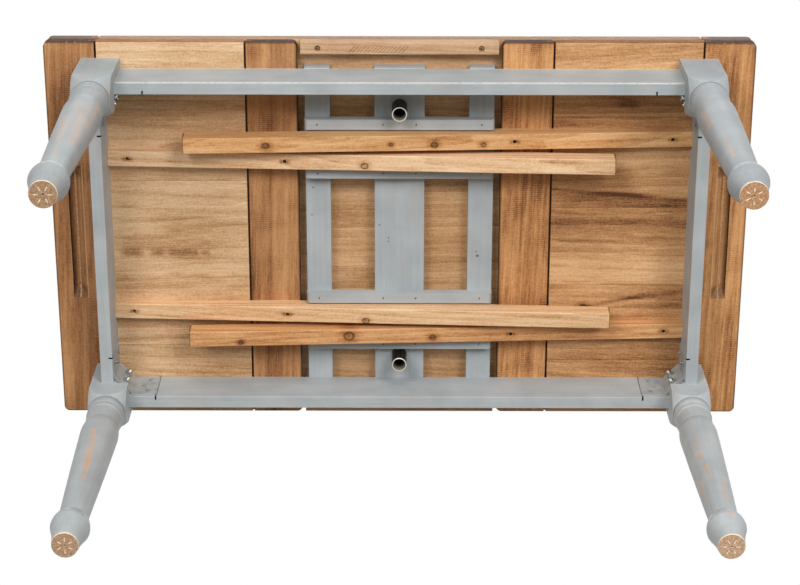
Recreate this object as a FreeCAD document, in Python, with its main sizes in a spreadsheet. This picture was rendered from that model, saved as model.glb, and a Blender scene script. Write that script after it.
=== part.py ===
# Extending dining table: a draw-leaf table with a floating top, in millimetres.
# The origin is on the floor under the table's centre, +X along the table and +Z up, with both leaves stored.
import FreeCAD, Part
import os
import re

import Sketcher
from FreeCAD import Placement, Rotation, Vector

# Driving dimensions, one for each size that can be set by itself.
SIZES = {
    # Whole table
    "table_length": 1400, "table_width": 792, "leg_length": 728,
    "end_overhang": 74, "side_overhang": 32,
    # Boards of the leaves and of the top
    "leaf_thick": 26, "top_thick": 26, "leaf_gap": 404, "top_inset": 3, "seat_gap": 0.3,
    "board_width": 100, "joint_gap": 4, "tongue_thick": 8, "tongue_depth": 12,
    "corner_round": 11, "edge_round": 2.5, "top_plank_count": 5,
    "first_joint_share": 0.15, "second_joint_share": 0.36,
    "third_joint_share": 0.57, "fourth_joint_share": 0.81,
    "finger_offset": 34, "finger_width": 30, "finger_floor": 13, "finger_length": 284, "finger_depth": 14,
    "finger_ramp": 24,
    # Legs, from the block down to the foot
    "leg_side": 76, "block_height": 113, "block_shoulder": 49, "block_round": 81, "shoulder_space": 0.5,
    "collar_width": 73, "collar_lip": 1, "collar_height": 23, "collar_round": 31,
    "bead_height": 18, "bead_round": 21, "bead_groove": 1.7, "neck_length": 41, "neck_width": 68,
    "shaft_width": 75, "shaft_shoulder": 32, "shoulder_round": 148, "shaft_round": 30000,
    "ankle_width": 53, "ankle_height": 97, "ankle_lip": 1, "ankle_groove": 3,
    "bulb_height": 63, "bulb_width": 72, "bulb_round": 57, "crease_height": 34, "crease_width": 57.4,
    "foot_width": 48, "drive_hole": 4, "drive_depth": 8, "drive_mark_count": 6,
    "drive_mark_place": 11.75, "drive_mark_length": 8, "drive_mark_width": 1.8, "drive_mark_depth": 1.2,
    # Aprons
    "apron_height": 101, "apron_thick": 25, "apron_setback": 21, "apron_round": 1.5,
    # Cross slats and guide bars
    "slat_width": 50, "wide_slat_width": 100, "slat_overhang": 2, "slat_leaf_gap": 14,
    "wide_slat_screw_inset": 17,
    "guide_width": 21, "guide_height": 22, "guide_round": 8, "guide_play": 3,
    # Sliding bars
    "loper_width": 32, "loper_height": 40, "loper_space": 10, "loper_reserve": 154, "loper_setin": 1,
    "loper_round": 2, "notch_play": 3, "slide_play": 0.3,
    "loper_screw_inset": 25.5, "loper_screw_outset": 58.5, "loper_screw_seat": 10,
    # Guide tubes and filler battens of the top
    "tube_outer": 30, "tube_wall": 2.5, "tube_drop": 57, "tube_seat": 10, "tube_play": 0.5, "tube_space": 6,
    "tube_round": 1, "tube_apron_gap": 37,
    "batten_width": 25, "batten_space": 7, "batten_screw_inset": 34,
    "batten_bore": 12, "batten_bore_depth": 5,
    # Corner plates with their bolts
    "plate_thick": 2, "plate_height": 80, "web_space": 5, "lip_depth": 6, "draw_gap": 1.5,
    "kerf_offset": 54, "kerf_depth": 7, "kerf_play": 0.5,
    "plate_screw_inset": 18, "plate_screw_step": 11, "plate_screw_rise": 27,
    "bolt_width": 8, "bolt_pitch": 40, "bolt_bite": 45, "bolt_tail": 14,
    "washer_width": 16, "washer_thick": 1.6, "nut_across": 13, "nut_height": 6.5,
    # Screws and nails
    "screw_width": 4, "screw_head": 8, "screw_head_height": 3, "screw_bite": 16, "slat_screw_bite": 40,
    "nail_width": 2.4, "nail_head": 5, "nail_head_height": 1, "fastener_play": 0.1,
    "tip_space": 1,
}

doc = FreeCAD.newDocument("ExtendingTable")
sheet = doc.addObject("Spreadsheet::Sheet", "Dims")
for row, (size_name, size) in enumerate(SIZES.items(), start=1):
    sheet.set(f"A{row}", size_name)
    sheet.set(f"B{row}", str(size))
    sheet.setAlias(f"B{row}", size_name)
doc.recompute()

X_AXIS = Vector(1, 0, 0)
Y_AXIS = Vector(0, 1, 0)
Z_AXIS = Vector(0, 0, 1)
HALF_DIAGONAL = "0.5 * sqrt(2)"
NEAR = 1e-3

# Levels and places that several pieces share.
LEAF_BOTTOM = "leg_length"
LEAF_TOP = "(leg_length + leaf_thick)"
TOP_BOTTOM = "(leg_length + leaf_thick + seat_gap)"
TOP_TOP = "(leg_length + leaf_thick + seat_gap + top_thick)"
APRON_BOTTOM = "(leg_length - apron_height)"
APRON_MIDDLE = "(leg_length - apron_height / 2)"
LEAF_OUTER = "(table_length / 2)"
LEAF_INNER = "(leaf_gap / 2)"
TOP_END = "(table_length / 2 - top_inset)"
SIDE = "(table_width / 2)"
LEG_X = "(table_length / 2 - end_overhang - leg_side / 2)"
LEG_Y = "(table_width / 2 - side_overhang - leg_side / 2)"
END_FACE = "(table_length / 2 - end_overhang - apron_setback)"
LONG_FACE = "(table_width / 2 - side_overhang - apron_setback)"
END_INSIDE = f"({END_FACE} - apron_thick)"
LONG_INSIDE = f"({LONG_FACE} - apron_thick)"

# How far a leg block stands inside the aprons, and what is set out from that corner of the aprons.
LEG_REACH = "(leg_side - apron_setback - apron_thick)"
WEB_FOOT = f"({LEG_REACH} + web_space)"
KERF_PLACE = f"({LEG_REACH} + kerf_offset)"
PLATE_SCREWS = [
    (f"({KERF_PLACE} - plate_screw_inset)", f"({APRON_MIDDLE} + plate_screw_rise)"),
    (f"({KERF_PLACE} - plate_screw_inset - plate_screw_step)", APRON_MIDDLE),
    (f"({KERF_PLACE} - plate_screw_inset)", f"({APRON_MIDDLE} - plate_screw_rise)"),
]
BOLT_LEVELS = [f"({APRON_MIDDLE} + bolt_pitch / 2)", f"({APRON_MIDDLE} - bolt_pitch / 2)"]

# The sliding bars drop by the top's thickness over the draw of a leaf, so a drawn leaf rises by as much.
SLOPE = "(top_thick / ((table_length - leaf_gap) / 2 - top_inset))"
INCLINE = f"sqrt(1 + {SLOPE} * {SLOPE})"
LOPER_SCREWS = [
    f"({LEAF_INNER} + loper_screw_inset)",
    f"({LEAF_OUTER} - board_width - loper_screw_outset)",
]
LOPER_START = f"({END_FACE} - loper_setin)"
LOPER_REACH = f"({END_INSIDE} - loper_reserve)"
LOPER_BOTTOM = f"({LEAF_BOTTOM} + ({LOPER_START} - {LEAF_INNER}) * {SLOPE} - loper_height * {INCLINE})"

# A guide tube, an outer guide bar, two sliding bars and an inner guide bar are set out from each long apron.
TUBE_PLACE = f"({LONG_INSIDE} - tube_apron_gap - tube_outer / 2)"
GUIDE_OUTER = f"({TUBE_PLACE} - tube_outer / 2 - tube_space - guide_width / 2)"
LOPER_PITCH = "(loper_width + loper_space)"
CHANNEL_HALF = f"({LOPER_PITCH} / 2 + loper_width / 2 + guide_play)"
CHANNEL_CENTRE = f"({GUIDE_OUTER} - guide_width / 2 - {CHANNEL_HALF})"
LOPER_PLACES = {
    "left": f"({CHANNEL_CENTRE} - {LOPER_PITCH} / 2)",
    "right": f"({CHANNEL_CENTRE} + {LOPER_PITCH} / 2)",
}
GUIDE_PLACES = {
    "inner": f"({CHANNEL_CENTRE} - {CHANNEL_HALF} - guide_width / 2)",
    "outer": GUIDE_OUTER,
}
GUIDE_END = f"({LEAF_INNER} - slat_leaf_gap)"
SLAT_PLACE = f"({GUIDE_END} - slat_width / 2)"
WIDE_SLAT_FIXING = "(wide_slat_width / 2 - wide_slat_screw_inset)"
BATTEN_HALF = f"({LEAF_INNER} - batten_space)"
BATTEN_SCREW = f"({BATTEN_HALF} - batten_screw_inset)"

# The turn about Z that carries the front left corner to each leg.
CORNERS = {"front_left": 0, "front_right": 90, "back_right": 180, "back_left": 270}
CORNER_SIGNS = {"front_left": (-1, -1), "front_right": (1, -1), "back_right": (1, 1), "back_left": (-1, 1)}
HALF_TURNS = {"left": 0, "right": 180}

pieces = []


def formula(text):
    """Point each size named in an expression at its cell of the sheet."""
    return re.sub(r"[a-z_]+", lambda word: "Dims." + word[0] if word[0] in SIZES else word[0], text)


def value(text):
    """Work out an expression with the sheet's sizes."""
    return float(sheet.evalExpression(formula(text)))


def bind(thing, place, text):
    """Tie a property to the sheet's sizes."""
    thing.setExpression(place, formula(text))


def bind_base(thing, x, y, z):
    """Tie where a thing stands to the sheet's sizes."""
    for axis, text in zip("xyz", (x, y, z)):
        bind(thing, f"Placement.Base.{axis}", text)


def new_body(label, turn=0, x="0", y="0"):
    """Start a piece, turned about Z and set at a place on the floor."""
    body = doc.addObject("PartDesign::Body", label)
    body.Label = label
    body.Placement = Placement(Vector(), Rotation(Z_AXIS, turn))
    bind_base(body, x, y, "0")
    pieces.append(body)
    return body


def box(body, kind, x, y, z, spin=None):
    """Add or cut a box over three (low, high) ranges, or from their low corner along spun axes."""
    feature = body.newObject(f"PartDesign::{kind}Box", "Block")
    for side, (low, high) in zip(("Length", "Width", "Height"), (x, y, z)):
        bind(feature, side, f"({high}) - ({low})")
    if spin:
        feature.Placement = Placement(Vector(), spin)
    bind_base(feature, x[0], y[0], z[0])
    return feature


def cylinder(body, kind, width, start, length, axis=Z_AXIS):
    """Add or cut a cylinder of one width, from a start point along an axis."""
    feature = body.newObject(f"PartDesign::{kind}Cylinder", "Round")
    bind(feature, "Radius", f"({width}) / 2")
    bind(feature, "Height", length)
    feature.Placement = Placement(Vector(), Rotation(Z_AXIS, axis))
    bind_base(feature, *start)
    return feature


def screw_hole(body, start, length, axis=Z_AXIS, width="screw_width"):
    """Cut the hole that a screw's shank lies in."""
    return cylinder(body, "Subtractive", f"{width} + 2 * fastener_play", start, length, axis)


def head_recess(body, start, length, axis=Z_AXIS):
    """Cut the recess that a screw's head lies in."""
    return cylinder(body, "Subtractive", "screw_head + 2 * fastener_play", start, length, axis)


def edges_along(axis, **places):
    """Choose the straight edges along one axis that lie at the given places on the others."""
    wanted = {name: [value(text) for text in texts] for name, texts in places.items()}

    def chosen(edge):
        first, last = (vertex.Point for vertex in (edge.Vertexes[0], edge.Vertexes[-1]))
        run = last - first
        if run.Length < NEAR or abs(getattr(run, axis)) < run.Length - NEAR:
            return False
        return all(min(abs(getattr(first, name) - place) for place in marks) < NEAR
                   for name, marks in wanted.items())
    return chosen


def round_edges(body, radius, *choices):
    """Round the edges of a piece that any of the choices picks."""
    base = body.Tip
    base.recompute(True)
    names = [f"Edge{count}" for count, edge in enumerate(base.Shape.Edges, start=1)
             if any(chosen(edge) for chosen in choices)]
    rounding = body.newObject("PartDesign::Fillet", "Rounding")
    rounding.Base = (base, names)
    bind(rounding, "Radius", radius)


def rim(z, x_ends, y_ends, reach):
    """Choose the edges of a board's outer rim at one level, its round corners too."""
    level, margin = value(z), value(reach)
    ends = [value(text) for text in x_ends]
    sides = [value(text) for text in y_ends]

    def chosen(edge):
        middle = edge.CenterOfMass
        at_end = any(abs(middle.x - end) <= margin for end in ends)
        at_side = any(abs(middle.y - side) <= margin for side in sides)
        flat = all(abs(vertex.Point.z - level) < NEAR for vertex in edge.Vertexes)
        return flat and (at_end or at_side)
    return chosen


def plane_of(body, role):
    """Find one of a body's own origin planes or axes."""
    return next(feature for feature in body.Origin.OriginFeatures if feature.Role == role)


# Boards and planks of the leaves and of the top

def cross_board(label, turn, x, z, joint, free):
    """A cross board with a through groove along its joint edge, and round corners and rim on its free edge."""
    body = new_body(label, turn)
    across = (f"-{SIDE}", SIDE)
    box(body, "Additive", x, across, z)
    groove_x = (f"{joint} - tongue_depth", joint) if joint == x[1] else (joint, f"{joint} + tongue_depth")
    middle = f"({z[0]} + {z[1]}) / 2"
    box(body, "Subtractive", groove_x, across,
        (f"{middle} - tongue_thick / 2", f"{middle} + tongue_thick / 2"))
    round_edges(body, "corner_round", edges_along("z", x=[free], y=[SIDE, f"-{SIDE}"]))
    levels = [rim(level, [free], [SIDE, f"-{SIDE}"], "corner_round") for level in z]
    round_edges(body, "edge_round", *levels)
    return body


def plank(label, turn, x, y, z, first, last):
    """A plank with a tongue all across both ends; the first and last have a rounded long edge."""
    body = new_body(label, turn)
    box(body, "Additive", x, y, z)
    middle = f"({z[0]} + {z[1]}) / 2"
    tongue_x = (f"{x[0]} - joint_gap - tongue_depth", f"{x[1]} + joint_gap + tongue_depth")
    box(body, "Additive", tongue_x, y,
        (f"{middle} - tongue_thick / 2", f"{middle} + tongue_thick / 2"))
    if first or last:
        outside = y[0] if first else y[1]
        round_edges(body, "edge_round", edges_along("x", y=[outside], z=list(z)))
    return body


def leaf(side):
    """One leaf: outer board with its finger pull, planks and inner board."""
    turn = HALF_TURNS[side]
    z = (LEAF_BOTTOM, LEAF_TOP)
    outer_joint = f"(-{LEAF_OUTER} + board_width)"
    inner_joint = f"(-{LEAF_INNER} - board_width)"
    outer = cross_board(f"{side}_leaf_outer_board", turn, (f"-{LEAF_OUTER}", outer_joint), z,
                        outer_joint, f"-{LEAF_OUTER}")
    pull = outer.newObject("PartDesign::SubtractiveWedge", "FingerPull")
    pull.Placement = Placement(Vector(), Rotation(X_AXIS, 90))
    for corner, text in {"Xmin": "0", "Xmax": "finger_width", "X2min": "0", "X2max": "finger_floor",
                         "Ymin": "0", "Ymax": "finger_depth", "Zmin": "0", "Zmax": "finger_length",
                         "Z2min": "finger_ramp", "Z2max": "finger_length - finger_ramp"}.items():
        bind(pull, corner, text)
    bind_base(pull, f"-{LEAF_OUTER} + finger_offset", "finger_length / 2", LEAF_BOTTOM)

    inner = cross_board(f"{side}_leaf_inner_board", turn, (inner_joint, f"-{LEAF_INNER}"), z,
                        inner_joint, f"-{LEAF_INNER}")
    shares = ("first_joint_share", "second_joint_share", "third_joint_share", "fourth_joint_share")
    joints = [f"(-{SIDE} + {share} * table_width)" for share in shares]
    lines = [f"-{SIDE}", *joints, SIDE]
    planks = []
    for number, y in enumerate(zip(lines, lines[1:]), start=1):
        x = (f"{outer_joint} + joint_gap", f"{inner_joint} - joint_gap")
        last = number == len(lines) - 1
        planks.append(plank(f"{side}_leaf_plank_{number}", turn, x, y, z, number == 1, last))

    for y in (LOPER_PLACES[side], f"-{LOPER_PLACES[side]}"):
        screw_hole(inner, (f"-{LOPER_SCREWS[0]}", y, LEAF_BOTTOM), "screw_bite")
        for body, (low, high) in zip(planks, zip(lines, lines[1:])):
            if value(low) < value(y) < value(high):
                screw_hole(body, (f"-{LOPER_SCREWS[1]}", y, LEAF_BOTTOM), "screw_bite")


def floating_top():
    """The top: a cross board at each end, planks between them and seats for the guide tubes."""
    z = (TOP_BOTTOM, TOP_TOP)
    joint = f"({TOP_END} - board_width)"
    cross_board("top_left_end_board", 0, (f"-{TOP_END}", f"-{joint}"), z, f"-{joint}", f"-{TOP_END}")
    cross_board("top_right_end_board", 0, (joint, TOP_END), z, joint, TOP_END)
    count = int(value("top_plank_count"))
    for number in range(1, count + 1):
        y = (f"(-{SIDE} + {number - 1} * table_width / top_plank_count)",
             f"(-{SIDE} + {number} * table_width / top_plank_count)")
        x = (f"-{joint} + joint_gap", f"{joint} - joint_gap")
        body = plank(f"top_plank_{number}", 0, x, y, z, number == 1, number == count)
        for tube_y in (TUBE_PLACE, f"-{TUBE_PLACE}"):
            seat = "(tube_outer + 2 * fastener_play)"
            if value(f"{y[0]} - {seat} / 2") < value(tube_y) < value(f"{y[1]} + {seat} / 2"):
                cylinder(body, "Subtractive", seat, ("0", tube_y, TOP_BOTTOM), "tube_seat")
        if number in (1, count):
            screw_y = f"-{SIDE} + batten_width / 2" if number == 1 else f"{SIDE} - batten_width / 2"
            for screw_x in (BATTEN_SCREW, f"-{BATTEN_SCREW}"):
                screw_hole(body, (screw_x, screw_y, TOP_BOTTOM), "screw_bite")


def filler_batten(label, turn):
    """A batten under the top that fills the gap between the leaves at a long edge."""
    body = new_body(label, turn)
    y = (f"-{SIDE}", f"-{SIDE} + batten_width")
    box(body, "Additive", (f"-{BATTEN_HALF}", BATTEN_HALF), y, (LEAF_BOTTOM, TOP_BOTTOM))
    round_edges(body, "edge_round", edges_along("x", z=[LEAF_BOTTOM]))
    for x in (BATTEN_SCREW, f"-{BATTEN_SCREW}"):
        screw_hole(body, (x, f"-{SIDE} + batten_width / 2", LEAF_BOTTOM), f"{TOP_BOTTOM} - {LEAF_BOTTOM}")
        cylinder(body, "Subtractive", "batten_bore", (x, f"-{SIDE} + batten_width / 2", LEAF_BOTTOM),
                 "batten_bore_depth")


def guide_tube(label, y):
    """A steel tube set in the top, which slides in the wide slat as the top lifts."""
    body = new_body(label)
    bottom = f"({LEAF_BOTTOM} - tube_drop)"
    length = f"{TOP_BOTTOM} + tube_seat - {bottom}"
    cylinder(body, "Additive", "tube_outer", ("0", y, bottom), length)
    cylinder(body, "Subtractive", "tube_outer - 2 * tube_wall", ("0", y, bottom), length)
    level = value(bottom)
    round_edges(body, "tube_round", lambda edge: abs(edge.CenterOfMass.z - level) < NEAR)


# Sliding bars

def loper(side, end, sign):
    """A sliding bar: a straight bar set downhill, sawn level where it lies under its leaf."""
    y = f"({sign} * {LOPER_PLACES[side]})"
    body = new_body(f"{side}_leaf_{end}_loper", HALF_TURNS[side])
    length = f"({LOPER_REACH} + {LOPER_START}) * {INCLINE}"
    bar = box(body, "Additive", (f"-{LOPER_START}", f"-{LOPER_START} + {length}"),
              (f"{y} - loper_width / 2", f"{y} + loper_width / 2"),
              (LOPER_BOTTOM, f"{LOPER_BOTTOM} + loper_height"), Rotation(Y_AXIS, 1))
    bind(bar, "Placement.Rotation.Angle", f"atan({SLOPE})")
    round_edges(body, "loper_round", downhill_edges)
    box(body, "Subtractive", (f"-{LEAF_OUTER}", f"-{LEAF_INNER}"),
        (f"{y} - loper_width", f"{y} + loper_width"), (LEAF_BOTTOM, f"{LEAF_BOTTOM} + loper_height"))
    below = f"({LEAF_BOTTOM} - loper_screw_seat - screw_head_height - loper_height)"
    for x in LOPER_SCREWS:
        screw_hole(body, (f"-{x}", y, f"{LEAF_BOTTOM} - loper_height"), "2 * loper_height")
        head_recess(body, (f"-{x}", y, below), "loper_height + screw_head_height")


def downhill_edges(edge):
    """Choose the lower long edges of a bar and the edges round its free end."""
    run = edge.Vertexes[0].Point - edge.Vertexes[-1].Point
    middle = edge.CenterOfMass
    lengthwise = abs(run.x) > abs(run.y) + abs(run.z)
    underside = value(LOPER_BOTTOM) - value(SLOPE) * (middle.x + value(LOPER_START))
    at_free_end = middle.x > value(LOPER_REACH) - NEAR
    return at_free_end or (lengthwise and abs(middle.z - underside) < NEAR)


# Frame

def slat_hole_places():
    """Where the slats are screwed to the long aprons, along X."""
    return [SLAT_PLACE, f"-{SLAT_PLACE}", WIDE_SLAT_FIXING, f"-{WIDE_SLAT_FIXING}"]


def long_apron(label, turn):
    """A long apron between two leg blocks, with a saw kerf for a corner plate's lip near each end."""
    body = new_body(label, turn)
    end = f"({LEG_X} - leg_side / 2)"
    z = (APRON_BOTTOM, "leg_length")
    box(body, "Additive", (f"-{end}", end), (f"-{LONG_FACE}", f"-{LONG_INSIDE}"), z)
    round_edges(body, "apron_round", edges_along("x", z=[APRON_BOTTOM]))
    for sign in ("", "-"):
        kerf = f"{sign}({END_INSIDE} - {KERF_PLACE})"
        half_kerf = "(plate_thick / 2 + kerf_play)"
        box(body, "Subtractive", (f"{kerf} - {half_kerf}", f"{kerf} + {half_kerf}"),
            (f"-{LONG_INSIDE} - kerf_depth", f"-{LONG_INSIDE}"), z)
        for along, level in PLATE_SCREWS:
            start = (f"{sign}({END_INSIDE} - {along})", f"-{LONG_INSIDE}", level)
            screw_hole(body, start, "screw_bite", -Y_AXIS)
    for x in slat_hole_places():
        screw_hole(body, (x, f"-{LONG_FACE} + apron_thick / 2", "leg_length"), "slat_screw_bite", -Z_AXIS)


def end_apron(side):
    """An end apron, notched at its top edge for its leaf's two sliding bars."""
    body = new_body(f"{side}_apron", HALF_TURNS[side])
    end = f"({LEG_Y} - leg_side / 2)"
    x = (f"-{END_FACE}", f"-{END_INSIDE}")
    z = (APRON_BOTTOM, "leg_length")
    box(body, "Additive", x, (f"-{end}", end), z)
    round_edges(body, "apron_round", edges_along("y", z=[APRON_BOTTOM]))
    bar_bottom = f"leg_length + ({END_INSIDE} - {LEAF_INNER}) * {SLOPE} - loper_height * {INCLINE}"
    notch_z = (f"{bar_bottom} - slide_play", "leg_length")
    for sign in ("", "-"):
        centre = f"{sign}{LOPER_PLACES[side]}"
        half_notch = "(loper_width / 2 + notch_play)"
        box(body, "Subtractive", x, (f"{centre} - {half_notch}", f"{centre} + {half_notch}"), notch_z)
        kerf = f"{sign}({LONG_INSIDE} - {KERF_PLACE})"
        half_kerf = "(plate_thick / 2 + kerf_play)"
        box(body, "Subtractive", (f"-{END_INSIDE} - kerf_depth", f"-{END_INSIDE}"),
            (f"{kerf} - {half_kerf}", f"{kerf} + {half_kerf}"), z)
        for along, level in PLATE_SCREWS:
            start = (f"-{END_INSIDE}", f"{sign}({LONG_INSIDE} - {along})", level)
            screw_hole(body, start, "screw_bite", -X_AXIS)


def leg_profile(body):
    """Half outline of the turned leg, in radius and height, from the foot up and back to the axis."""
    block_foot = "(leg_length - block_height)"
    collar = f"({block_foot} - block_shoulder)"
    bead_top = f"({collar} - collar_height)"
    bead_low = f"({bead_top} - bead_height)"
    neck_low = f"({bead_low} - neck_length)"
    shaft_top = f"({neck_low} - shaft_shoulder)"
    bead_edge = "(collar_width / 2 - bead_groove)"
    corner_reach = f"(leg_side * {HALF_DIAGONAL} + shoulder_space)"
    outline = [
        ("0", "0", None),
        ("foot_width / 2", "0", None),
        ("crease_width / 2", "crease_height", None),
        ("bulb_width / 2", "bulb_height", None),
        ("ankle_width / 2 + ankle_lip", "ankle_height - ankle_groove", "bulb_round"),
        ("ankle_width / 2", "ankle_height", None),
        ("shaft_width / 2", shaft_top, "shaft_round"),
        ("neck_width / 2", neck_low, "shoulder_round"),
        (bead_edge, bead_low, None),
        (bead_edge, bead_top, "bead_round"),
        (bead_edge, collar, "collar_round"),
        ("collar_width / 2 + collar_lip", collar, None),
        (corner_reach, block_foot, "block_round"),
        ("leg_side", block_foot, None),
        ("leg_side", "leg_length", None),
        ("0", "leg_length", None),
    ]
    sketch = body.newObject("Sketcher::SketchObject", "Outline")
    sketch.AttachmentSupport = [(plane_of(body, "XZ_Plane"), "")]
    sketch.MapMode = "FlatFace"
    points = [Vector(value(radius), value(height), 0) for radius, height, _ in outline]
    corners = list(zip(points, points[1:] + points[:1]))
    bends = [bend for _, _, bend in outline[1:]] + [None]
    for (start, finish), bend in zip(corners, bends):
        if bend:
            sketch.addGeometry(arc_to_right(start, finish, value(bend)))
        else:
            sketch.addGeometry(Part.LineSegment(start, finish))
    for number in range(len(outline)):
        sketch.addConstraint(Sketcher.Constraint("Coincident", number, 2, (number + 1) % len(outline), 1))
    for number, (radius, height, _) in enumerate(outline):
        for kind, text in (("DistanceX", radius), ("DistanceY", height)):
            index = sketch.addConstraint(Sketcher.Constraint(kind, -1, 1, number, 1, value(text)))
            bind(sketch, f"Constraints[{index}]", text)
    for number, bend in enumerate(bends):
        if bend:
            index = sketch.addConstraint(Sketcher.Constraint("Radius", number, value(bend)))
            bind(sketch, f"Constraints[{index}]", bend)
    return sketch


def arc_to_right(start, finish, radius):
    """The short arc between two points of an outline that runs up, bulging away from the axis."""
    chord = finish - start
    inward = Vector(-chord.y, chord.x, 0).normalize()
    centre = (start + finish) * 0.5 + inward * (radius ** 2 - (chord.Length / 2) ** 2) ** 0.5
    middle = centre - inward * radius
    return Part.Arc(start, middle, finish)


def square_sketch(body, name, outer, inner):
    """A square ring about the leg's axis, to cut the round work down to the square block."""
    sketch = body.newObject("Sketcher::SketchObject", name)
    sketch.AttachmentSupport = [(plane_of(body, "XY_Plane"), "")]
    sketch.MapMode = "FlatFace"
    for half in (outer, inner):
        reach = value(half)
        corners = [Vector(-reach, -reach, 0), Vector(reach, -reach, 0),
                   Vector(reach, reach, 0), Vector(-reach, reach, 0)]
        first = sketch.GeometryCount
        for start, finish in zip(corners, corners[1:] + corners[:1]):
            sketch.addGeometry(Part.LineSegment(start, finish))
        for number in range(4):
            sketch.addConstraint(
                Sketcher.Constraint("Coincident", first + number, 2, first + (number + 1) % 4, 1))
        for number, corner in enumerate(corners):
            for kind, place in (("DistanceX", corner.x), ("DistanceY", corner.y)):
                index = sketch.addConstraint(Sketcher.Constraint(kind, -1, 1, first + number, 1, place))
                bind(sketch, f"Constraints[{index}]", half if place > 0 else f"-({half})")
    return sketch


def leg(name):
    """A leg: a square block with its inner corner planed off, turned below it to a bulb and a small foot."""
    across, along = CORNER_SIGNS[name]
    body = new_body(f"{name}_leg", CORNERS[name], f"{across} * {LEG_X}", f"{along} * {LEG_Y}")
    outline = leg_profile(body)
    turning = body.newObject("PartDesign::Revolution", "Turning")
    turning.Profile = outline
    turning.ReferenceAxis = (outline, ["V_Axis"])
    turning.Angle = 360
    turning.recompute(True)
    squaring = body.newObject("PartDesign::Pocket", "Squaring")
    squaring.Profile = square_sketch(body, "BlockSides", "2 * leg_side", "leg_side / 2")
    squaring.Type = "ThroughAll"
    squaring.Reversed = True

    corner = f"(leg_side / 2 - {LEG_REACH})"
    flat = f"((2 * {corner} + {WEB_FOOT}) * {HALF_DIAGONAL} - draw_gap)"
    start_x = f"({flat} + leg_side) * {HALF_DIAGONAL}"
    start_y = f"({flat} - leg_side) * {HALF_DIAGONAL}"
    box(body, "Subtractive", (start_x, f"{start_x} + leg_side"), (start_y, f"{start_y} + 2 * leg_side"),
        (APRON_BOTTOM, "leg_length"), Rotation(Z_AXIS, 45))
    for level in BOLT_LEVELS:
        depth = f"({flat} - bolt_bite) * {HALF_DIAGONAL}"
        screw_hole(body, (depth, depth, level), "bolt_bite + leg_side", Vector(1, 1, 0), "bolt_width")

    cylinder(body, "Subtractive", "drive_hole", ("0", "0", "0"), "drive_depth")
    mark_x = ("drive_mark_place - drive_mark_length / 2", "drive_mark_place + drive_mark_length / 2")
    mark_y = ("-drive_mark_width / 2", "drive_mark_width / 2")
    mark = box(body, "Subtractive", mark_x, mark_y, ("0", "drive_mark_depth"))
    marks = body.newObject("PartDesign::PolarPattern", "DriveMarks")
    marks.Originals = [mark]
    marks.Axis = (plane_of(body, "Z_Axis"), [""])
    marks.Angle = 360
    bind(marks, "Occurrences", "drive_mark_count")
    body.Tip = marks


def corner_plate(name):
    """A pressed steel plate across a corner, with a wing on each apron and a lip in each saw kerf."""
    across, along = CORNER_SIGNS[name]
    body = new_body(f"{name}_corner_plate", CORNERS[name],
                    f"{across} * {END_INSIDE}", f"{along} * {LONG_INSIDE}")
    # Both wings are alike, so a quarter turn fits the plate to the next corner.
    z = (f"{APRON_MIDDLE} - plate_height / 2", f"{APRON_MIDDLE} + plate_height / 2")
    skin = ("0", "plate_thick")
    wing = (WEB_FOOT, f"{KERF_PLACE} + plate_thick / 2")
    lip = (f"{KERF_PLACE} - plate_thick / 2", f"{KERF_PLACE} + plate_thick / 2")
    hook = ("-lip_depth", "plate_thick")
    box(body, "Additive", wing, skin, z)
    box(body, "Additive", lip, hook, z)
    bend = f"plate_thick * {HALF_DIAGONAL}"
    web_x = (f"{WEB_FOOT} + {bend}", f"{WEB_FOOT} + {bend} + {WEB_FOOT} * 2 * {HALF_DIAGONAL}")
    box(body, "Additive", web_x, (bend, f"{bend} + plate_thick"), z, Rotation(Z_AXIS, 135))
    box(body, "Additive", skin, wing, z)
    box(body, "Additive", hook, lip, z)
    for level in BOLT_LEVELS:
        middle = f"{WEB_FOOT} / 2 - plate_thick"
        screw_hole(body, (middle, middle, level), "4 * plate_thick", Vector(1, 1, 0), "bolt_width")
    for place, level in PLATE_SCREWS:
        screw_hole(body, (place, "0", level), "plate_thick", Y_AXIS)
        screw_hole(body, ("0", place, level), "plate_thick", X_AXIS)


def cross_slat(label, centre, width):
    """A slat across the frame, lying on the long aprons level with the leaves."""
    body = new_body(label)
    end = f"({LONG_FACE} + slat_overhang)"
    half = f"({width} / 2)"
    x_range = (f"{centre} - {half}", f"{centre} + {half}")
    box(body, "Additive", x_range, (f"-{end}", end), (LEAF_BOTTOM, LEAF_TOP))
    round_edges(body, "apron_round", edges_along("y", z=[LEAF_BOTTOM]))
    low, high = (value(text) for text in x_range)
    for x in slat_hole_places():
        if low < value(x) < high:
            for y in (f"-{LONG_FACE} + apron_thick / 2", f"{LONG_FACE} - apron_thick / 2"):
                screw_hole(body, (x, y, LEAF_BOTTOM), "leaf_thick")
                head_recess(body, (x, y, f"{LEAF_TOP} - screw_head_height"), "screw_head_height")
            for place in GUIDE_PLACES.values():
                for sign in ("", "-"):
                    screw_hole(body, (x, f"{sign}{place}", LEAF_BOTTOM), "screw_bite", Z_AXIS, "nail_width")
    return body


def wide_slat():
    """The wide middle slat, with a hole for each guide tube of the top."""
    body = cross_slat("wide_slat", "0", "wide_slat_width")
    for y in (TUBE_PLACE, f"-{TUBE_PLACE}"):
        cylinder(body, "Subtractive", "tube_outer + 2 * tube_play", ("0", y, LEAF_BOTTOM), "leaf_thick")


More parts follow.
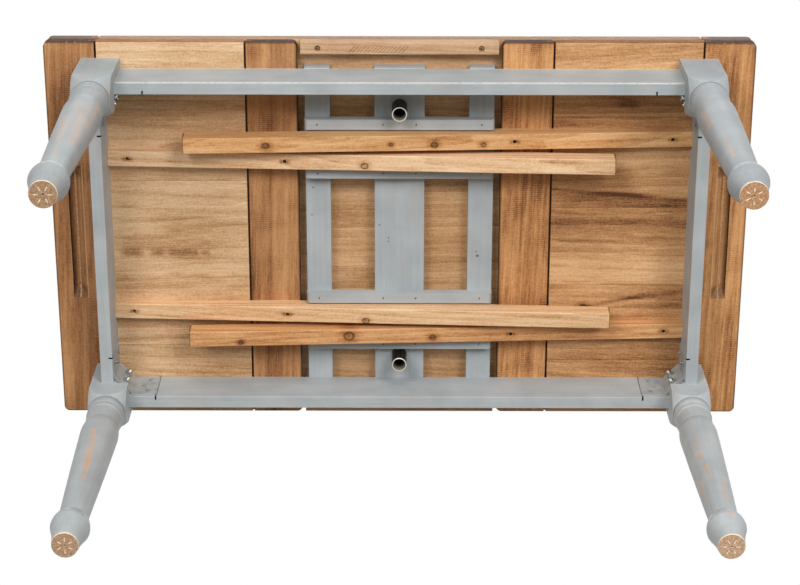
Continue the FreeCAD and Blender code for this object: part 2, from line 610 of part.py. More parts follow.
def guide_bar(label, y):
    """A bar nailed under the slats beside the sliding bars, rounded at its lower ends."""
    body = new_body(label)
    bottom = "(leg_length - guide_height)"
    box(body, "Additive", (f"-{GUIDE_END}", GUIDE_END), (f"{y} - guide_width / 2", f"{y} + guide_width / 2"),
        (bottom, "leg_length"))
    round_edges(body, "guide_round", edges_along("y", z=[bottom]))
    for x in slat_hole_places():
        screw_hole(body, (x, y, bottom), "guide_height", Z_AXIS, "nail_width")


# Fasteners, each kind a group of separate pieces

def primitive(kind, name, start, spin, **sizes):
    """A plain round or prismatic solid at a place, with sizes tied to the sheet."""
    solid = doc.addObject(f"Part::{kind}", name)
    for size, text in sizes.items():
        bind(solid, size, text)
    solid.Placement = Placement(Vector(), spin)
    bind_base(solid, *start)
    return solid


def headed_pin(start, axis, shank, head, head_height, length):
    """A screw or nail whose shank starts at a seat, with its head on the near side of the seat."""
    spin = Rotation(Z_AXIS, axis)
    back = [f"({place}) - ({head_height}) * ({part})" for place, part in zip(start, axis)]
    pin = doc.addObject("Part::Fuse", "Pin")
    pin.Base = primitive("Cylinder", "Shank", start, spin, Radius=f"{shank} / 2", Height=length)
    pin.Tool = primitive("Cylinder", "Head", back, spin, Radius=f"{head} / 2", Height=head_height)
    return pin


def screw(start, axis, length):
    """A wood screw from its seat."""
    return headed_pin(start, axis, "screw_width", "screw_head", "screw_head_height", length)


def pierced(outer, start, spin, height):
    """A washer or nut blank with the bolt's hole through it."""
    ring = doc.addObject("Part::Cut", "Ring")
    ring.Base = outer
    radius = "bolt_width / 2 + fastener_play"
    ring.Tool = primitive("Cylinder", "Hole", start, spin, Radius=radius, Height=height)
    return ring


def group(label, members):
    """One node for a kind of fastener, as separate solids."""
    compound = doc.addObject("Part::Compound", label)
    compound.Label = label
    compound.Links = members
    pieces.append(compound)


def loper_screws(side):
    """The screws up through a leaf's sliding bars into its boards."""
    mirror = "-" if side == "left" else ""
    members = []
    for x in LOPER_SCREWS:
        for sign in ("", "-"):
            start = (f"{mirror}{x}", f"{sign}{LOPER_PLACES[side]}", f"{LEAF_BOTTOM} - loper_screw_seat")
            members.append(screw(start, Z_AXIS, "loper_screw_seat + screw_bite - tip_space"))
    group(f"{side}_leaf_loper_screws", members)


def batten_screws():
    """The screws up through the filler battens into the top."""
    members = []
    seat = f"({LEAF_BOTTOM} + batten_bore_depth)"
    for x in (BATTEN_SCREW, f"-{BATTEN_SCREW}"):
        for y in (f"-{SIDE} + batten_width / 2", f"{SIDE} - batten_width / 2"):
            members.append(screw((x, y, seat), Z_AXIS, f"{TOP_BOTTOM} + screw_bite - tip_space - {seat}"))
    group("batten_screws", members)


def slat_screws():
    """The screws down through the slats into the long aprons."""
    members = []
    for x in slat_hole_places():
        for y in (f"-{LONG_FACE} + apron_thick / 2", f"{LONG_FACE} - apron_thick / 2"):
            start = (x, y, f"{LEAF_TOP} - screw_head_height")
            length = "leaf_thick - screw_head_height + slat_screw_bite - tip_space"
            members.append(screw(start, -Z_AXIS, length))
    group("slat_screws", members)


def guide_bar_nails():
    """The nails up through the guide bars into the slats."""
    members = []
    for x in slat_hole_places():
        for place in GUIDE_PLACES.values():
            for sign in ("", "-"):
                start = (x, f"{sign}{place}", "leg_length - guide_height")
                members.append(headed_pin(start, Z_AXIS, "nail_width", "nail_head", "nail_head_height",
                                          "guide_height + screw_bite - tip_space"))
    group("guide_bar_nails", members)


def plate_screws():
    """The screws that hold the corner plates' wings to the aprons."""
    members = []
    length = "plate_thick + screw_bite - tip_space"
    for across, along in CORNER_SIGNS.values():
        end_skin = f"{across} * ({END_INSIDE} - plate_thick)"
        long_skin = f"{along} * ({LONG_INSIDE} - plate_thick)"
        for place, level in PLATE_SCREWS:
            on_long = (f"{across} * ({END_INSIDE} - {place})", long_skin, level)
            on_end = (end_skin, f"{along} * ({LONG_INSIDE} - {place})", level)
            members.append(screw(on_long, Y_AXIS * along, length))
            members.append(screw(on_end, X_AXIS * across, length))
    group("corner_plate_screws", members)


def hanger_bolts():
    """The bolts that draw each leg into its corner, with a washer and a nut on each."""
    bolts, washers, nuts = [], [], []
    web_face = f"({WEB_FOOT} * {HALF_DIAGONAL} + plate_thick)"
    tail = f"({web_face} + bolt_tail)"
    root = f"({WEB_FOOT} * {HALF_DIAGONAL} - draw_gap - bolt_bite + tip_space)"
    for across, along in CORNER_SIGNS.values():
        inward = Vector(-across, -along, 0)
        spin = Rotation(Z_AXIS, inward)
        for level in BOLT_LEVELS:

            def on_diagonal(distance):
                """A point on the bolt's axis, this far from the corner of the aprons."""
                return (f"{across} * ({END_INSIDE} - {distance} * {HALF_DIAGONAL})",
                        f"{along} * ({LONG_INSIDE} - {distance} * {HALF_DIAGONAL})", level)
            bolts.append(primitive("Cylinder", "Bolt", on_diagonal(root), spin,
                                   Radius="bolt_width / 2", Height=f"{tail} - {root}"))
            disc = primitive("Cylinder", "Disc", on_diagonal(web_face), spin,
                             Radius="washer_width / 2", Height="washer_thick")
            washers.append(pierced(disc, on_diagonal(web_face), spin, "washer_thick"))
            seat = on_diagonal(f"({web_face} + washer_thick)")
            blank = primitive("Prism", "Blank", seat, spin,
                              Circumradius="nut_across / sqrt(3)", Height="nut_height")
            blank.Polygon = 6
            nuts.append(pierced(blank, seat, spin, "nut_height"))
    group("hanger_bolts", bolts)
    group("hanger_washers", washers)
    group("hanger_nuts", nuts)


# The table, in the order that it goes together

for corner_name in CORNERS:
    leg(corner_name)
long_apron("front_apron", 0)
long_apron("back_apron", 180)
for end_side in HALF_TURNS:
    end_apron(end_side)
for corner_name in CORNERS:
    corner_plate(corner_name)
plate_screws()
hanger_bolts()

wide_slat()
cross_slat("left_slat", f"-{SLAT_PLACE}", "slat_width")
cross_slat("right_slat", SLAT_PLACE, "slat_width")
slat_screws()
for bar_name, bar_place in GUIDE_PLACES.items():
    guide_bar(f"front_{bar_name}_guide_bar", f"-{bar_place}")
    guide_bar(f"back_{bar_name}_guide_bar", bar_place)
guide_bar_nails()

for leaf_side in HALF_TURNS:
    leaf(leaf_side)
    front = -1 if leaf_side == "left" else 1
    loper(leaf_side, "front", front)
    loper(leaf_side, "back", -front)
    loper_screws(leaf_side)

floating_top()
guide_tube("front_guide_tube", f"-{TUBE_PLACE}")
guide_tube("back_guide_tube", TUBE_PLACE)
filler_batten("front_filler_batten", 0)
filler_batten("back_filler_batten", 180)
batten_screws()

doc.recompute()
failed = [thing.Label for thing in doc.Objects if {"Invalid", "Error"} & set(thing.State)]
unsound = [piece.Label for piece in pieces if piece.Shape.isNull() or not piece.Shape.isValid()]
if failed or unsound:
    raise RuntimeError(f"failed: {failed}, unsound: {unsound}")

os.makedirs("parts", exist_ok=True)
for piece in pieces:
    piece.Shape.exportStep(f"parts/{piece.Label}.step")
print(len(pieces), "nodes,", sum(len(piece.Shape.Solids) for piece in pieces), "solids")
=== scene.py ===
# Extending dining table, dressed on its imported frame: rubbed paint, oiled and planed wood, steel fasteners.
import math

import bmesh
import bpy
from mathutils import Matrix, Vector


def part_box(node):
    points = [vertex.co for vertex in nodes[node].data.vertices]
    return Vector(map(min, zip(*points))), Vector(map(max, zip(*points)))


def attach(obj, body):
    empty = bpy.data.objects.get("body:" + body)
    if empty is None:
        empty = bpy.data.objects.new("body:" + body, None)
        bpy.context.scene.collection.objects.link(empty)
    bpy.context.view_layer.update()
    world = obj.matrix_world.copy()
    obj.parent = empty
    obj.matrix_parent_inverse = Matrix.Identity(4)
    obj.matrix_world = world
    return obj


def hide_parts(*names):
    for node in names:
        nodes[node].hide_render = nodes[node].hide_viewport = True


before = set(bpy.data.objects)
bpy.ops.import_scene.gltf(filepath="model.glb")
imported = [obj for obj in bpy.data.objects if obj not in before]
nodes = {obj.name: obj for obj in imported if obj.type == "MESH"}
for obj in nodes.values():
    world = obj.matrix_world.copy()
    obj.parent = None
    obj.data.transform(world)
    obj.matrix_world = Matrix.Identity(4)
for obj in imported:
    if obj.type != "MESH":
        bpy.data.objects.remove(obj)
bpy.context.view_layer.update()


# Legs: four turned softwood legs with a square block at the top, brushed with chalky blue-grey paint and
# rubbed back to the wood on the arrises and in long streaks. Their pale arris lines are partly a painted
# highlight, and painted shade darkens their turned grooves. The sawn end of each foot is left bare, with the
# dents of the lathe's drive centre, whose bottoms are painted pale as a highlight.

def linear(code):
    """An sRGB hex colour as the linear colour that a shader reads."""
    parts = [int(code[place:place + 2], 16) / 255 for place in (1, 3, 5)]
    return [*(part / 12.92 if part <= 0.04045 else ((part + 0.055) / 1.055) ** 2.4 for part in parts), 1]


def per_metre(*sizes_mm):
    """How often patterns of these sizes in millimetres repeat in a metre."""
    counts = [1000 / size for size in sizes_mm]
    return counts[0] if len(counts) == 1 else counts


def add(tree, kind, inputs, stops=(), **settings):
    """Add a node with its settings, set or link its inputs, and give a colour ramp its stops.

    A node that is given as an input is linked by the first of its outputs that is in use.
    """
    node = tree.nodes.new("ShaderNode" + kind)
    for name, setting in settings.items():
        setattr(node, name, setting)
    for name, given in inputs.items():
        if isinstance(given, bpy.types.Node):
            given = next(output for output in given.outputs if output.enabled)
        if isinstance(given, bpy.types.NodeSocket):
            tree.links.new(given, node.inputs[name])
        else:
            node.inputs[name].default_value = given
    for number, (place, code) in enumerate(stops):
        stop = node.color_ramp.elements[number] if number < 2 else node.color_ramp.elements.new(place)
        stop.position = place
        stop.color = linear(code)
    return node


def blank_material(name):
    """A material without nodes, and its node tree."""
    material = bpy.data.materials.new(name)
    material.use_nodes = True
    material.node_tree.nodes.clear()
    return material, material.node_tree


def dress(material, *names):
    """Give CAD nodes one material."""
    for name in names:
        nodes[name].data.materials.clear()
        nodes[name].data.materials.append(material)


def drawn_out(tree, at, sizes_mm, detail, roughness=0.5):
    """Cloudy streaks, drawn out to these sizes in millimetres along X, Y and Z."""
    scaled = add(tree, "VectorMath", {0: at, 1: per_metre(*sizes_mm)}, operation="MULTIPLY")
    return add(tree, "TexNoise", {"Vector": scaled, "Scale": 1, "Detail": detail, "Roughness": roughness})


def arris_wear(tree, radius, turn, strength):
    """How worn an arris is: there a normal rounded over a radius turns from the face's own to this cosine."""
    rounded = add(tree, "Bevel", {"Radius": radius}, samples=4)
    face = add(tree, "NewGeometry", {})
    alike = add(tree, "VectorMath", {0: rounded, 1: face.outputs["Normal"]}, operation="DOT_PRODUCT")
    return add(tree, "MapRange", {"Value": alike, "From Min": 0.99, "From Max": turn, "To Max": strength})


# Turns that lay a pattern's own X along a piece.
ALONG = {"X": (0, 0, 0), "Y": (0, 0, math.pi / 2), "Z": (0, math.pi / 2, 0)}


def paint(name, along, coat=("#9fa7ab", "#b7bdc0"), arris=("#c9c3bb", 0.45, 0.0022), front=None, rubs=(),
          chips=(), kerf=None, thinness=0.45, foot=None):
    """Chalk paint brushed on softwood: matt, streaky, worn on arrises and, on a leg, rubbed to the wood.

    The coat is a dark and a pale tone, and the arris the shade, strength and radius in metres of its wear,
    which on the legs and the front rail is partly a painted highlight. Kerfs and turned grooves get painted
    shade.
    """
    material, tree = blank_material(name)
    at = add(tree, "TexCoord", {}).outputs["Object"]
    place = add(tree, "SeparateXYZ", {"Vector": at})
    turned = add(tree, "Mapping", {"Vector": at, "Rotation": ALONG[along]})
    strokes = drawn_out(tree, turned, (160, 5, 5), 3)
    clouds = add(tree, "TexNoise", {"Vector": at, "Scale": per_metre(70), "Detail": 3})
    tone = add(tree, "Math", {0: strokes, 1: 0.5, 2: clouds}, operation="MULTIPLY_ADD")
    tone = add(tree, "MapRange", {"Value": tone, "From Min": 0.45, "From Max": 1.05})
    colour = add(tree, "ValToRGB", {"Fac": tone}, ((0.0, coat[0]), (1.0, coat[1])))

    # A warm undercoat shows thinly in cloudy patches drawn out along the brush.
    thin = drawn_out(tree, turned, (140, 26, 26), 2)
    thin = add(tree, "MapRange", {"Value": thin, "From Min": 0.52, "From Max": 0.8, "To Max": thinness})
    colour = add(tree, "Mix", {0: thin, 6: colour, 7: linear("#b8aea8")}, data_type="RGBA")

    # Arrises are worn in broken lines; on the legs and the front rail the pale line is partly a painted
    # highlight.
    # On the front rail only those at the front are.
    shade, strength, radius = arris
    grit = add(tree, "TexNoise", {"Vector": at, "Scale": per_metre(11), "Detail": 4})
    broken = add(tree, "MapRange", {"Value": grit, "From Min": 0.25, "From Max": 0.5})
    edge = add(tree, "Math", {0: arris_wear(tree, radius, 0.92, strength), 1: broken}, operation="MULTIPLY")
    if front:
        reach, ahead = front
        out = add(tree, "Math", {0: place.outputs["X"]}, operation="ABSOLUTE")
        out = add(tree, "Math", {0: out, 1: reach}, operation="LESS_THAN")
        edge = add(tree, "Math", {0: edge, 1: out}, operation="MULTIPLY")
        near = add(tree, "Math", {0: place.outputs["Y"], 1: ahead}, operation="LESS_THAN")
        edge = add(tree, "Math", {0: edge, 1: near}, operation="MULTIPLY")
    colour = add(tree, "Mix", {0: edge, 6: colour, 7: linear(shade)}, data_type="RGBA")

    height = strokes
    for x, y, half in chips:
        # A chip bares old dark wood.
        away = add(tree, "VectorMath", {0: at, 1: (1, 1, 0)}, operation="MULTIPLY")
        away = add(tree, "VectorMath", {0: away, 1: (x / 1000, y / 1000, 0)}, operation="DISTANCE")
        ragged = add(tree, "Math", {0: grit, 1: half / 500, 2: away}, operation="MULTIPLY_ADD")
        chip = add(tree, "MapRange", {"Value": ragged, "From Min": half * 2.2 / 1000,
                                      "From Max": half * 1.4 / 1000, "To Max": 0.8})
        colour = add(tree, "Mix", {0: chip, 6: colour, 7: linear("#3d3a36")}, data_type="RGBA")
    if rubs:
        # Painted shade: the turned grooves, found by an occlusion test, are darkened.
        groove_shade = add(tree, "AmbientOcclusion", {"Distance": 0.008}, samples=8, only_local=True)
        groove_shade = add(tree, "MapRange", {"Value": groove_shade.outputs["AO"], "From Min": 0.92, "From Max": 0.6,
                                        "To Max": 0.45})
        colour = add(tree, "Mix", {0: groove_shade, 6: colour, 7: linear("#737c81")}, data_type="RGBA")
        # The sawn foot is bare, and so is its ragged rim.
        ragged = add(tree, "Math", {0: grit, 1: -0.008, 2: place.outputs["Z"]}, operation="MULTIPLY_ADD")
        sawn = add(tree, "MapRange", {"Value": ragged, "From Min": 0.0008, "From Max": -0.0008})
        worn = sawn
        # Long rubbed marks run down the leg from a high point to a low one, broken along the brush strokes.
        breaks = add(tree, "MapRange", {"Value": strokes, "From Min": 0.4, "From Max": 0.6,
                                        "To Min": 0.55, "To Max": 1.35})
        for high, low, half, bareness in rubs:
            share = add(tree, "MapRange", {"Value": place.outputs["Z"], "From Min": high[2] / 1000,
                                           "From Max": low[2] / 1000})
            near = add(tree, "Mix", {0: share, 4: Vector(high) / 1000, 5: Vector(low) / 1000},
                       data_type="VECTOR")
            away = add(tree, "VectorMath", {0: at, 1: near}, operation="DISTANCE")
            ragged = add(tree, "Math", {0: grit, 1: half / 800, 2: away}, operation="MULTIPLY_ADD")
            mark = add(tree, "MapRange", {"Value": ragged, "From Min": half * 1.9 / 1000,
                                          "From Max": half * 0.5 / 1000, "To Max": bareness})
            mark = add(tree, "Math", {0: mark, 1: breaks}, operation="MULTIPLY", use_clamp=True)
            worn = add(tree, "Math", {0: worn, 1: mark}, operation="MAXIMUM")
        fibres = drawn_out(tree, turned, (60, 2.5, 2.5), 2)
        bare = add(tree, "ValToRGB", {"Fac": fibres}, ((0.3, "#cfa482"), (0.7, "#deba9c")))
        end_grain = add(tree, "TexNoise", {"Vector": at, "Scale": per_metre(4), "Detail": 3})
        end_wood = add(tree, "ValToRGB", {"Fac": end_grain}, ((0.35, foot[0]), (0.66, foot[1])))
        # The bottoms of the drive centre's dents are painted pale, as a painted highlight.
        dent_highlight = add(tree, "MapRange", {"Value": place.outputs["Z"], "From Min": 0.0001, "From Max": 0.0005})
        end_wood = add(tree, "Mix", {0: dent_highlight, 6: end_wood, 7: linear("#fff0d6")}, data_type="RGBA")
        bare = add(tree, "Mix", {0: sawn, 6: bare, 7: end_wood}, data_type="RGBA")
        colour = add(tree, "Mix", {0: worn, 6: colour, 7: bare}, data_type="RGBA")
        height = add(tree, "Math", {0: worn, 1: -0.6, 2: strokes}, operation="MULTIPLY_ADD")
    if kerf:
        # Painted shade: a kerf's walls are painted near black, as the shade in the narrow slot.
        (axis, middle, half), (other, floor) = kerf
        out = add(tree, "Math", {0: place.outputs[axis]}, operation="ABSOLUTE")
        out = add(tree, "Math", {0: out, 1: middle, 2: half}, operation="COMPARE")
        deep = add(tree, "Math", {0: place.outputs[other]}, operation="ABSOLUTE")
        deep = add(tree, "Math", {0: deep, 1: floor}, operation="LESS_THAN")
        inside = add(tree, "Math", {0: out, 1: deep}, operation="MULTIPLY")
        colour = add(tree, "Mix", {0: inside, 6: colour, 7: linear("#171513")}, data_type="RGBA")
    gloss = add(tree, "MapRange", {"Value": strokes, "To Min": 0.36, "To Max": 0.56})
    bump = add(tree, "Bump", {"Height": height, "Strength": 0.25, "Distance": 0.0004})
    shader = add(tree, "BsdfPrincipled", {"Base Color": colour, "Roughness": gloss,
                                          "Specular IOR Level": 0.14, "Normal": bump})
    add(tree, "OutputMaterial", {"Surface": shader})
    return material


# How each leg looks: the dark and pale tone of its coat, how much undercoat shows, the two tones of its end
# grain, and its rubs. A rub is a high point, a low point and a half width in millimetres, and how bare it is.
LEGS = {
    "front_left": {
        "coat": ("#99a2a7", "#b1b8bc"), "thinness": 0.85, "foot": ("#917357", "#bd9f81"),
        "rubs": [((-574, -360, 417), (-568, -349, 213), 12, 0.42),
                 ((-556, -345, 451), (-559, -344, 321), 8, 0.45),
                 ((-598, -357, 340), (-592, -356, 192), 10, 0.3),
                 ((-557, -328, 226), (-560, -325, 140), 6, 0.3),
                 ((-588, -354, 146), (-589, -354, 134), 6, 0.55)]},
    "front_right": {
        "coat": ("#9aa4a9", "#b2b9be"), "thinness": 0.5, "foot": ("#a07757", "#cea682"),
        "rubs": [((556, -344, 424), (558, -342, 340), 9, 0.75), ((571, -353, 250), (573, -350, 143), 5, 0.5),
                 ((573, -350, 174), (573, -351, 162), 5, 0.85)]},
    "back_right": {
        "coat": ("#aab3b8", "#c4cbcf"), "thinness": 0.4, "foot": ("#ac8c74", "#d6b799"),
        "rubs": [((571, 295, 384), (571, 296, 335), 5, 0.5), ((570, 298, 312), (570, 298, 300), 7, 0.9),
                 ((575, 297, 271), (575, 298, 230), 5, 0.9), ((558, 316, 262), (561, 316, 162), 4, 0.8),
                 ((599, 298, 200), (595, 299, 126), 5, 0.75), ((593, 291, 68), (593, 291, 56), 5, 0.75)]},
    "back_left": {
        "coat": ("#a1aaae", "#bac1c5"), "thinness": 0.4, "foot": ("#9b7c64", "#c3a489"),
        "rubs": [((-590, 290, 406), (-586, 292, 332), 6, 0.85), ((-586, 292, 345), (-584, 295, 243), 7, 0.9),
                 ((-585, 296, 219), (-585, 296, 211), 7, 0.8)]},
}
# The legs' pale arris lines are partly wear and partly a painted highlight on the turned rings.
LEG_ARRIS_AND_HIGHLIGHT = ("#d2d2cf", 0.6, 0.003)
for corner, look in LEGS.items():
    dress(paint(f"rubbed_chalk_paint_{corner}_leg", "Z", arris=LEG_ARRIS_AND_HIGHLIGHT, **look), f"{corner}_leg")


# Aprons: four sawn softwood rails between the leg blocks, painted with the legs before assembly. The front
# one's lower arris is worn to a pale line and brightened almost to white as a painted highlight.

# A kerf is the axis along its rail, its place there and its half width, then the axis across and its floor.
KERF_HALF = 0.0017
LONG_KERF = (("X", 0.496, KERF_HALF), ("Y", 0.3256))
END_KERF = (("Y", 0.234, KERF_HALF), ("X", 0.5876))
# How far out the front rail's worn arris with its painted highlight runs, and the depth that it stays in
# front of.
FRONT_WEAR_AND_HIGHLIGHT = (0.546, -0.3305)
dress(paint("rubbed_chalk_paint_front_rail", "X", ("#a1aaae", "#b9c0c4"), ("#fffaf0", 1.0, 0.0055),
            front=FRONT_WEAR_AND_HIGHLIGHT, kerf=LONG_KERF), "front_apron")
dress(paint("rubbed_chalk_paint_back_rail", "X", ("#a2aaae", "#bac0c3"), kerf=LONG_KERF), "back_apron")
dress(paint("rubbed_chalk_paint_end_rail", "Y", kerf=END_KERF), "left_apron", "right_apron")


# Corner plates: four pressed steel plates hooked into the kerfs of the aprons and screwed to them, sprayed
# over with the frame's paint, screw heads and all.

def sprayed_steel(name):
    """Sprayed steel: the frame's grey, smoother than on wood, with fine orange peel and dusty clouds."""
    material, tree = blank_material(name)
    at = add(tree, "TexCoord", {}).outputs["Object"]
    clouds = add(tree, "TexNoise", {"Vector": at, "Scale": per_metre(22), "Detail": 4})
    coat = add(tree, "ValToRGB", {"Fac": clouds}, ((0.3, "#90979a"), (0.7, "#afb4b5")))
    peel = add(tree, "TexNoise", {"Vector": at, "Scale": per_metre(1.6), "Detail": 1})
    gloss = add(tree, "MapRange", {"Value": clouds, "To Min": 0.38, "To Max": 0.54})
    bump = add(tree, "Bump", {"Height": peel, "Strength": 0.2, "Distance": 0.0002})
    shader = add(tree, "BsdfPrincipled", {"Base Color": coat, "Roughness": gloss, "Specular IOR Level": 0.3,
                                          "Normal": bump})
    add(tree, "OutputMaterial", {"Surface": shader})
    return material


def screw(head, height, shank, length, arm=0.6, slit=0.22, depth=0.55):
    """A cross-recessed screw along +Z: its head's rim is at 0 and its point up at its length.

    The arms and half slits of its cross are shares of the head's radius, and its depth one of the height.
    """
    shape = bmesh.new()
    bmesh.ops.create_grid(shape, x_segments=3, y_segments=3, size=1)
    for vert in shape.verts:
        for axis in (0, 1):
            side = math.copysign(1, vert.co[axis])
            vert.co[axis] = side * head * (arm if abs(vert.co[axis]) > 0.9 else slit)
    cross = [face for face in shape.faces
             if min(abs(part) for part in face.calc_center_median()[:2]) < head * 0.01]
    grown = bmesh.ops.extrude_face_region(shape, geom=cross)["geom"]
    floor_verts = [part for part in grown if isinstance(part, bmesh.types.BMVert)]
    bmesh.ops.translate(shape, verts=floor_verts, vec=(0, 0, height * depth))
    rim = [edge for edge in shape.edges if edge.is_boundary]
    for radius, level in ((head * 0.92, 0.1 * height), (head, 0.4 * height), (head, height),
                          (shank, height), (shank, length * 0.9), (shank * 0.2, length)):
        grown = bmesh.ops.extrude_edge_only(shape, edges=rim)["geom"]
        rim = [part for part in grown if isinstance(part, bmesh.types.BMEdge)]
        for vert in {vert for edge in rim for vert in edge.verts}:
            flat = Vector(vert.co[:2]).normalized() * radius
            vert.co = (flat.x, flat.y, level)
    bmesh.ops.contextual_create(shape, geom=rim)
    bmesh.ops.recalc_face_normals(shape, faces=shape.faces)
    return shape


def repeat(one, places):
    """Copies of one shape, each set by a matrix, in a single shape."""
    whole = bmesh.new()
    for place in places:
        mesh = bpy.data.meshes.new("copy")
        one.to_mesh(mesh)
        mesh.transform(place)
        whole.from_mesh(mesh)
        bpy.data.meshes.remove(mesh)
    one.free()
    return whole


# An edge that turns by less than this is shaded smooth.
SMOOTH_TURN = math.radians(35)


def stand_for(node, shape, material, body):
    """Make a piece of a shape, and let it stand for a CAD node."""
    mesh = bpy.data.meshes.new(f"{node}_finished")
    for face in shape.faces:
        face.smooth = True
    for edge in shape.edges:
        edge.smooth = edge.calc_face_angle(0) < SMOOTH_TURN
    shape.to_mesh(mesh)
    shape.free()
    mesh.materials.append(material)
    piece = bpy.data.objects.new(f"{node}_finished", mesh)
    bpy.context.scene.collection.objects.link(piece)
    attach(piece, body)
    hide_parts(node)


def facing(direction, spot_mm):
    """The matrix that lays +Z along a direction, at a spot in millimetres."""
    turn = Vector(direction).to_track_quat("Z", "Y").to_matrix().to_4x4()
    return Matrix.Translation(Vector(spot_mm) / 1000) @ turn


plate_coat = sprayed_steel("sprayed_steel")
dress(plate_coat, *(f"{corner}_corner_plate" for corner in LEGS))
# The screw heads on the lugs of the long rails and of the end rails, in millimetres out from the middle.
LONG_LUG_X, LONG_LUG_Y = 514, 313
END_LUG_X, END_LUG_Y = 575, 252
# Two screws high and low on each lug and one between them, set back from the lug's end.
LUG_SCREWS = ((0, 650.5), (11, 677.5), (0, 704.5))
places = []
for side in (-1, 1):
    for end in (-1, 1):
        for back, level in LUG_SCREWS:
            places.append(facing((0, end, 0), (side * (LONG_LUG_X + back), end * LONG_LUG_Y, level)))
            places.append(facing((side, 0, 0), (side * END_LUG_X, end * (END_LUG_Y + back), level)))
plate_screw = screw(head=0.004, height=0.0028, shank=0.0019, length=0.02)
stand_for("corner_plate_screws", repeat(plate_screw, places), plate_coat, "frame")


# Hanger bolts: two zinc-plated bolts a corner, screwed into the leg's planed edge, with a washer and a nut on
# the tail that shows through the plate.

def plated_steel(name, dull, bright, roughness):
    """Plated, blackened or browned steel: metal between two tones, with a faint mottled bloom."""
    material, tree = blank_material(name)
    at = add(tree, "TexCoord", {}).outputs["Object"]
    bloom = add(tree, "TexNoise", {"Vector": at, "Scale": per_metre(3), "Detail": 3})
    plating = add(tree, "ValToRGB", {"Fac": bloom}, ((0.35, dull), (0.65, bright)))
    gloss = add(tree, "MapRange", {"Value": bloom, "To Min": roughness * 0.7, "To Max": roughness * 1.3})
    bump = add(tree, "Bump", {"Height": bloom, "Strength": 0.15, "Distance": 0.0002})
    shader = add(tree, "BsdfPrincipled", {"Base Color": plating, "Metallic": 1.0, "Roughness": gloss,
                                          "Normal": bump})
    add(tree, "OutputMaterial", {"Surface": shader})
    return material


def turned_round(outline, steps=24, ring=False):
    """A solid of revolution about Z, from an outline of radius and height: pole to pole, or a ring."""
    shape = bmesh.new()
    verts = [shape.verts.new((radius, 0, height)) for radius, height in outline]
    edges = [shape.edges.new(pair) for pair in zip(verts, verts[1:])]
    if ring:
        edges.append(shape.edges.new((verts[-1], verts[0])))
    bmesh.ops.spin(shape, geom=verts + edges, cent=(0, 0, 0), axis=(0, 0, 1), angle=math.tau, steps=steps,
                   use_merge=True)
    bmesh.ops.remove_doubles(shape, verts=shape.verts, dist=1e-6)
    bmesh.ops.recalc_face_normals(shape, faces=shape.faces)
    return shape


bright_zinc = plated_steel("bright_zinc_plating", "#a4aaa6", "#e2e6e2", 0.3)
dress(bright_zinc, "hanger_washers", "hanger_nuts")
BOLT_RADIUS, BOLT_ROOT, BOLT_PITCH, BOLT_TURNS, BOLT_LENGTH = 0.004, 0.0034, 0.00125, 6, 0.0614
# The bolts' tails, in millimetres out from the middle, and their two levels.
BOLT_X, BOLT_Y = 551.3, 289.3
BOLT_LEVELS = (657.5, 697.5)
outline = [(0, 0), (BOLT_ROOT, 0)]
for count in range(BOLT_TURNS):
    outline.append((BOLT_RADIUS, BOLT_PITCH * (count + 0.5)))
    outline.append((BOLT_ROOT, BOLT_PITCH * (count + 1)))
outline += [(BOLT_RADIUS, BOLT_PITCH * (BOLT_TURNS + 0.5)), (BOLT_RADIUS, BOLT_LENGTH), (0, BOLT_LENGTH)]
places = [facing((side, end, 0), (side * BOLT_X, end * BOLT_Y, level))
          for side in (-1, 1) for end in (-1, 1) for level in BOLT_LEVELS]
stand_for("hanger_bolts", repeat(turned_round(outline), places), bright_zinc, "frame")


# Slats: three softwood slats across the frame, painted, screwed down on the long aprons. The leaves pass
# between them and the top rests on them.

# Knocks have chipped the paint here and there: each chip is a spot and a half width in millimetres.
SLAT_CHIPS = [(-40.7, -17.3, 2.4), (-22.3, 10, 1.8), (-22.3, 18, 1.8), (158.3, 48.7, 3), (156, 40, 1.8),
              (-173.3, -97.1, 2.2), (-176.5, -38.9, 1.6)]
dress(paint("rubbed_chalk_paint_slat", "Y", chips=SLAT_CHIPS), "wide_slat", "left_slat", "right_slat")
dress(bright_zinc, "slat_screws")


# Guide bars: four painted bars nailed under the slats, which keep the sliding bars in line. The T-headed
# brads are driven home askew, and their dark heads show through the paint.

dress(paint("rubbed_chalk_paint_guide", "X"),
      *(f"{end}_{place}_guide_bar" for end in ("front", "back") for place in ("inner", "outer")))
black_iron = plated_steel("black_iron", "#2f2c29", "#4a4743", 0.5)
BRAD_SIZE, BRAD_EASE = (0.0018, 0.0046, 0.038), 0.0003
# The least turn of a brad in degrees, and the step to the next of four turns.
BRAD_TURN, BRAD_TURN_STEP = 18, 7
# The rows of brads across the table, their spots along it and the level of their middles, in millimetres.
BRAD_ROWS = (-234.5, -133.5, 133.5, 234.5)
BRAD_SPOTS = (-163, -33, 33, 163)
BRAD_LEVEL = 724.6
brad = bmesh.new()
bmesh.ops.create_cube(brad, size=1)
bmesh.ops.scale(brad, vec=BRAD_SIZE, verts=brad.verts)
bmesh.ops.bevel(brad, geom=brad.edges, offset=BRAD_EASE, offset_type="OFFSET", segments=2, profile=0.5,
                affect="EDGES", material=-1)
places = []
for across in BRAD_ROWS:
    for count, along in enumerate(BRAD_SPOTS):
        turn = math.radians(BRAD_TURN + BRAD_TURN_STEP * ((count * 3 + int(across)) % 4))
        spot = Matrix.Translation(Vector((along, across, BRAD_LEVEL)) / 1000)
        places.append(spot @ Matrix.Rotation(turn, 4, "Z"))
stand_for("guide_bar_nails", repeat(brad, places), black_iron, "frame")


# Leaves: each has a stained hardwood board across both ends, planks tongued into them, and two planed
# softwood sliding bars screwed up into the boards. The undersides are oiled and a little rough from the saw.

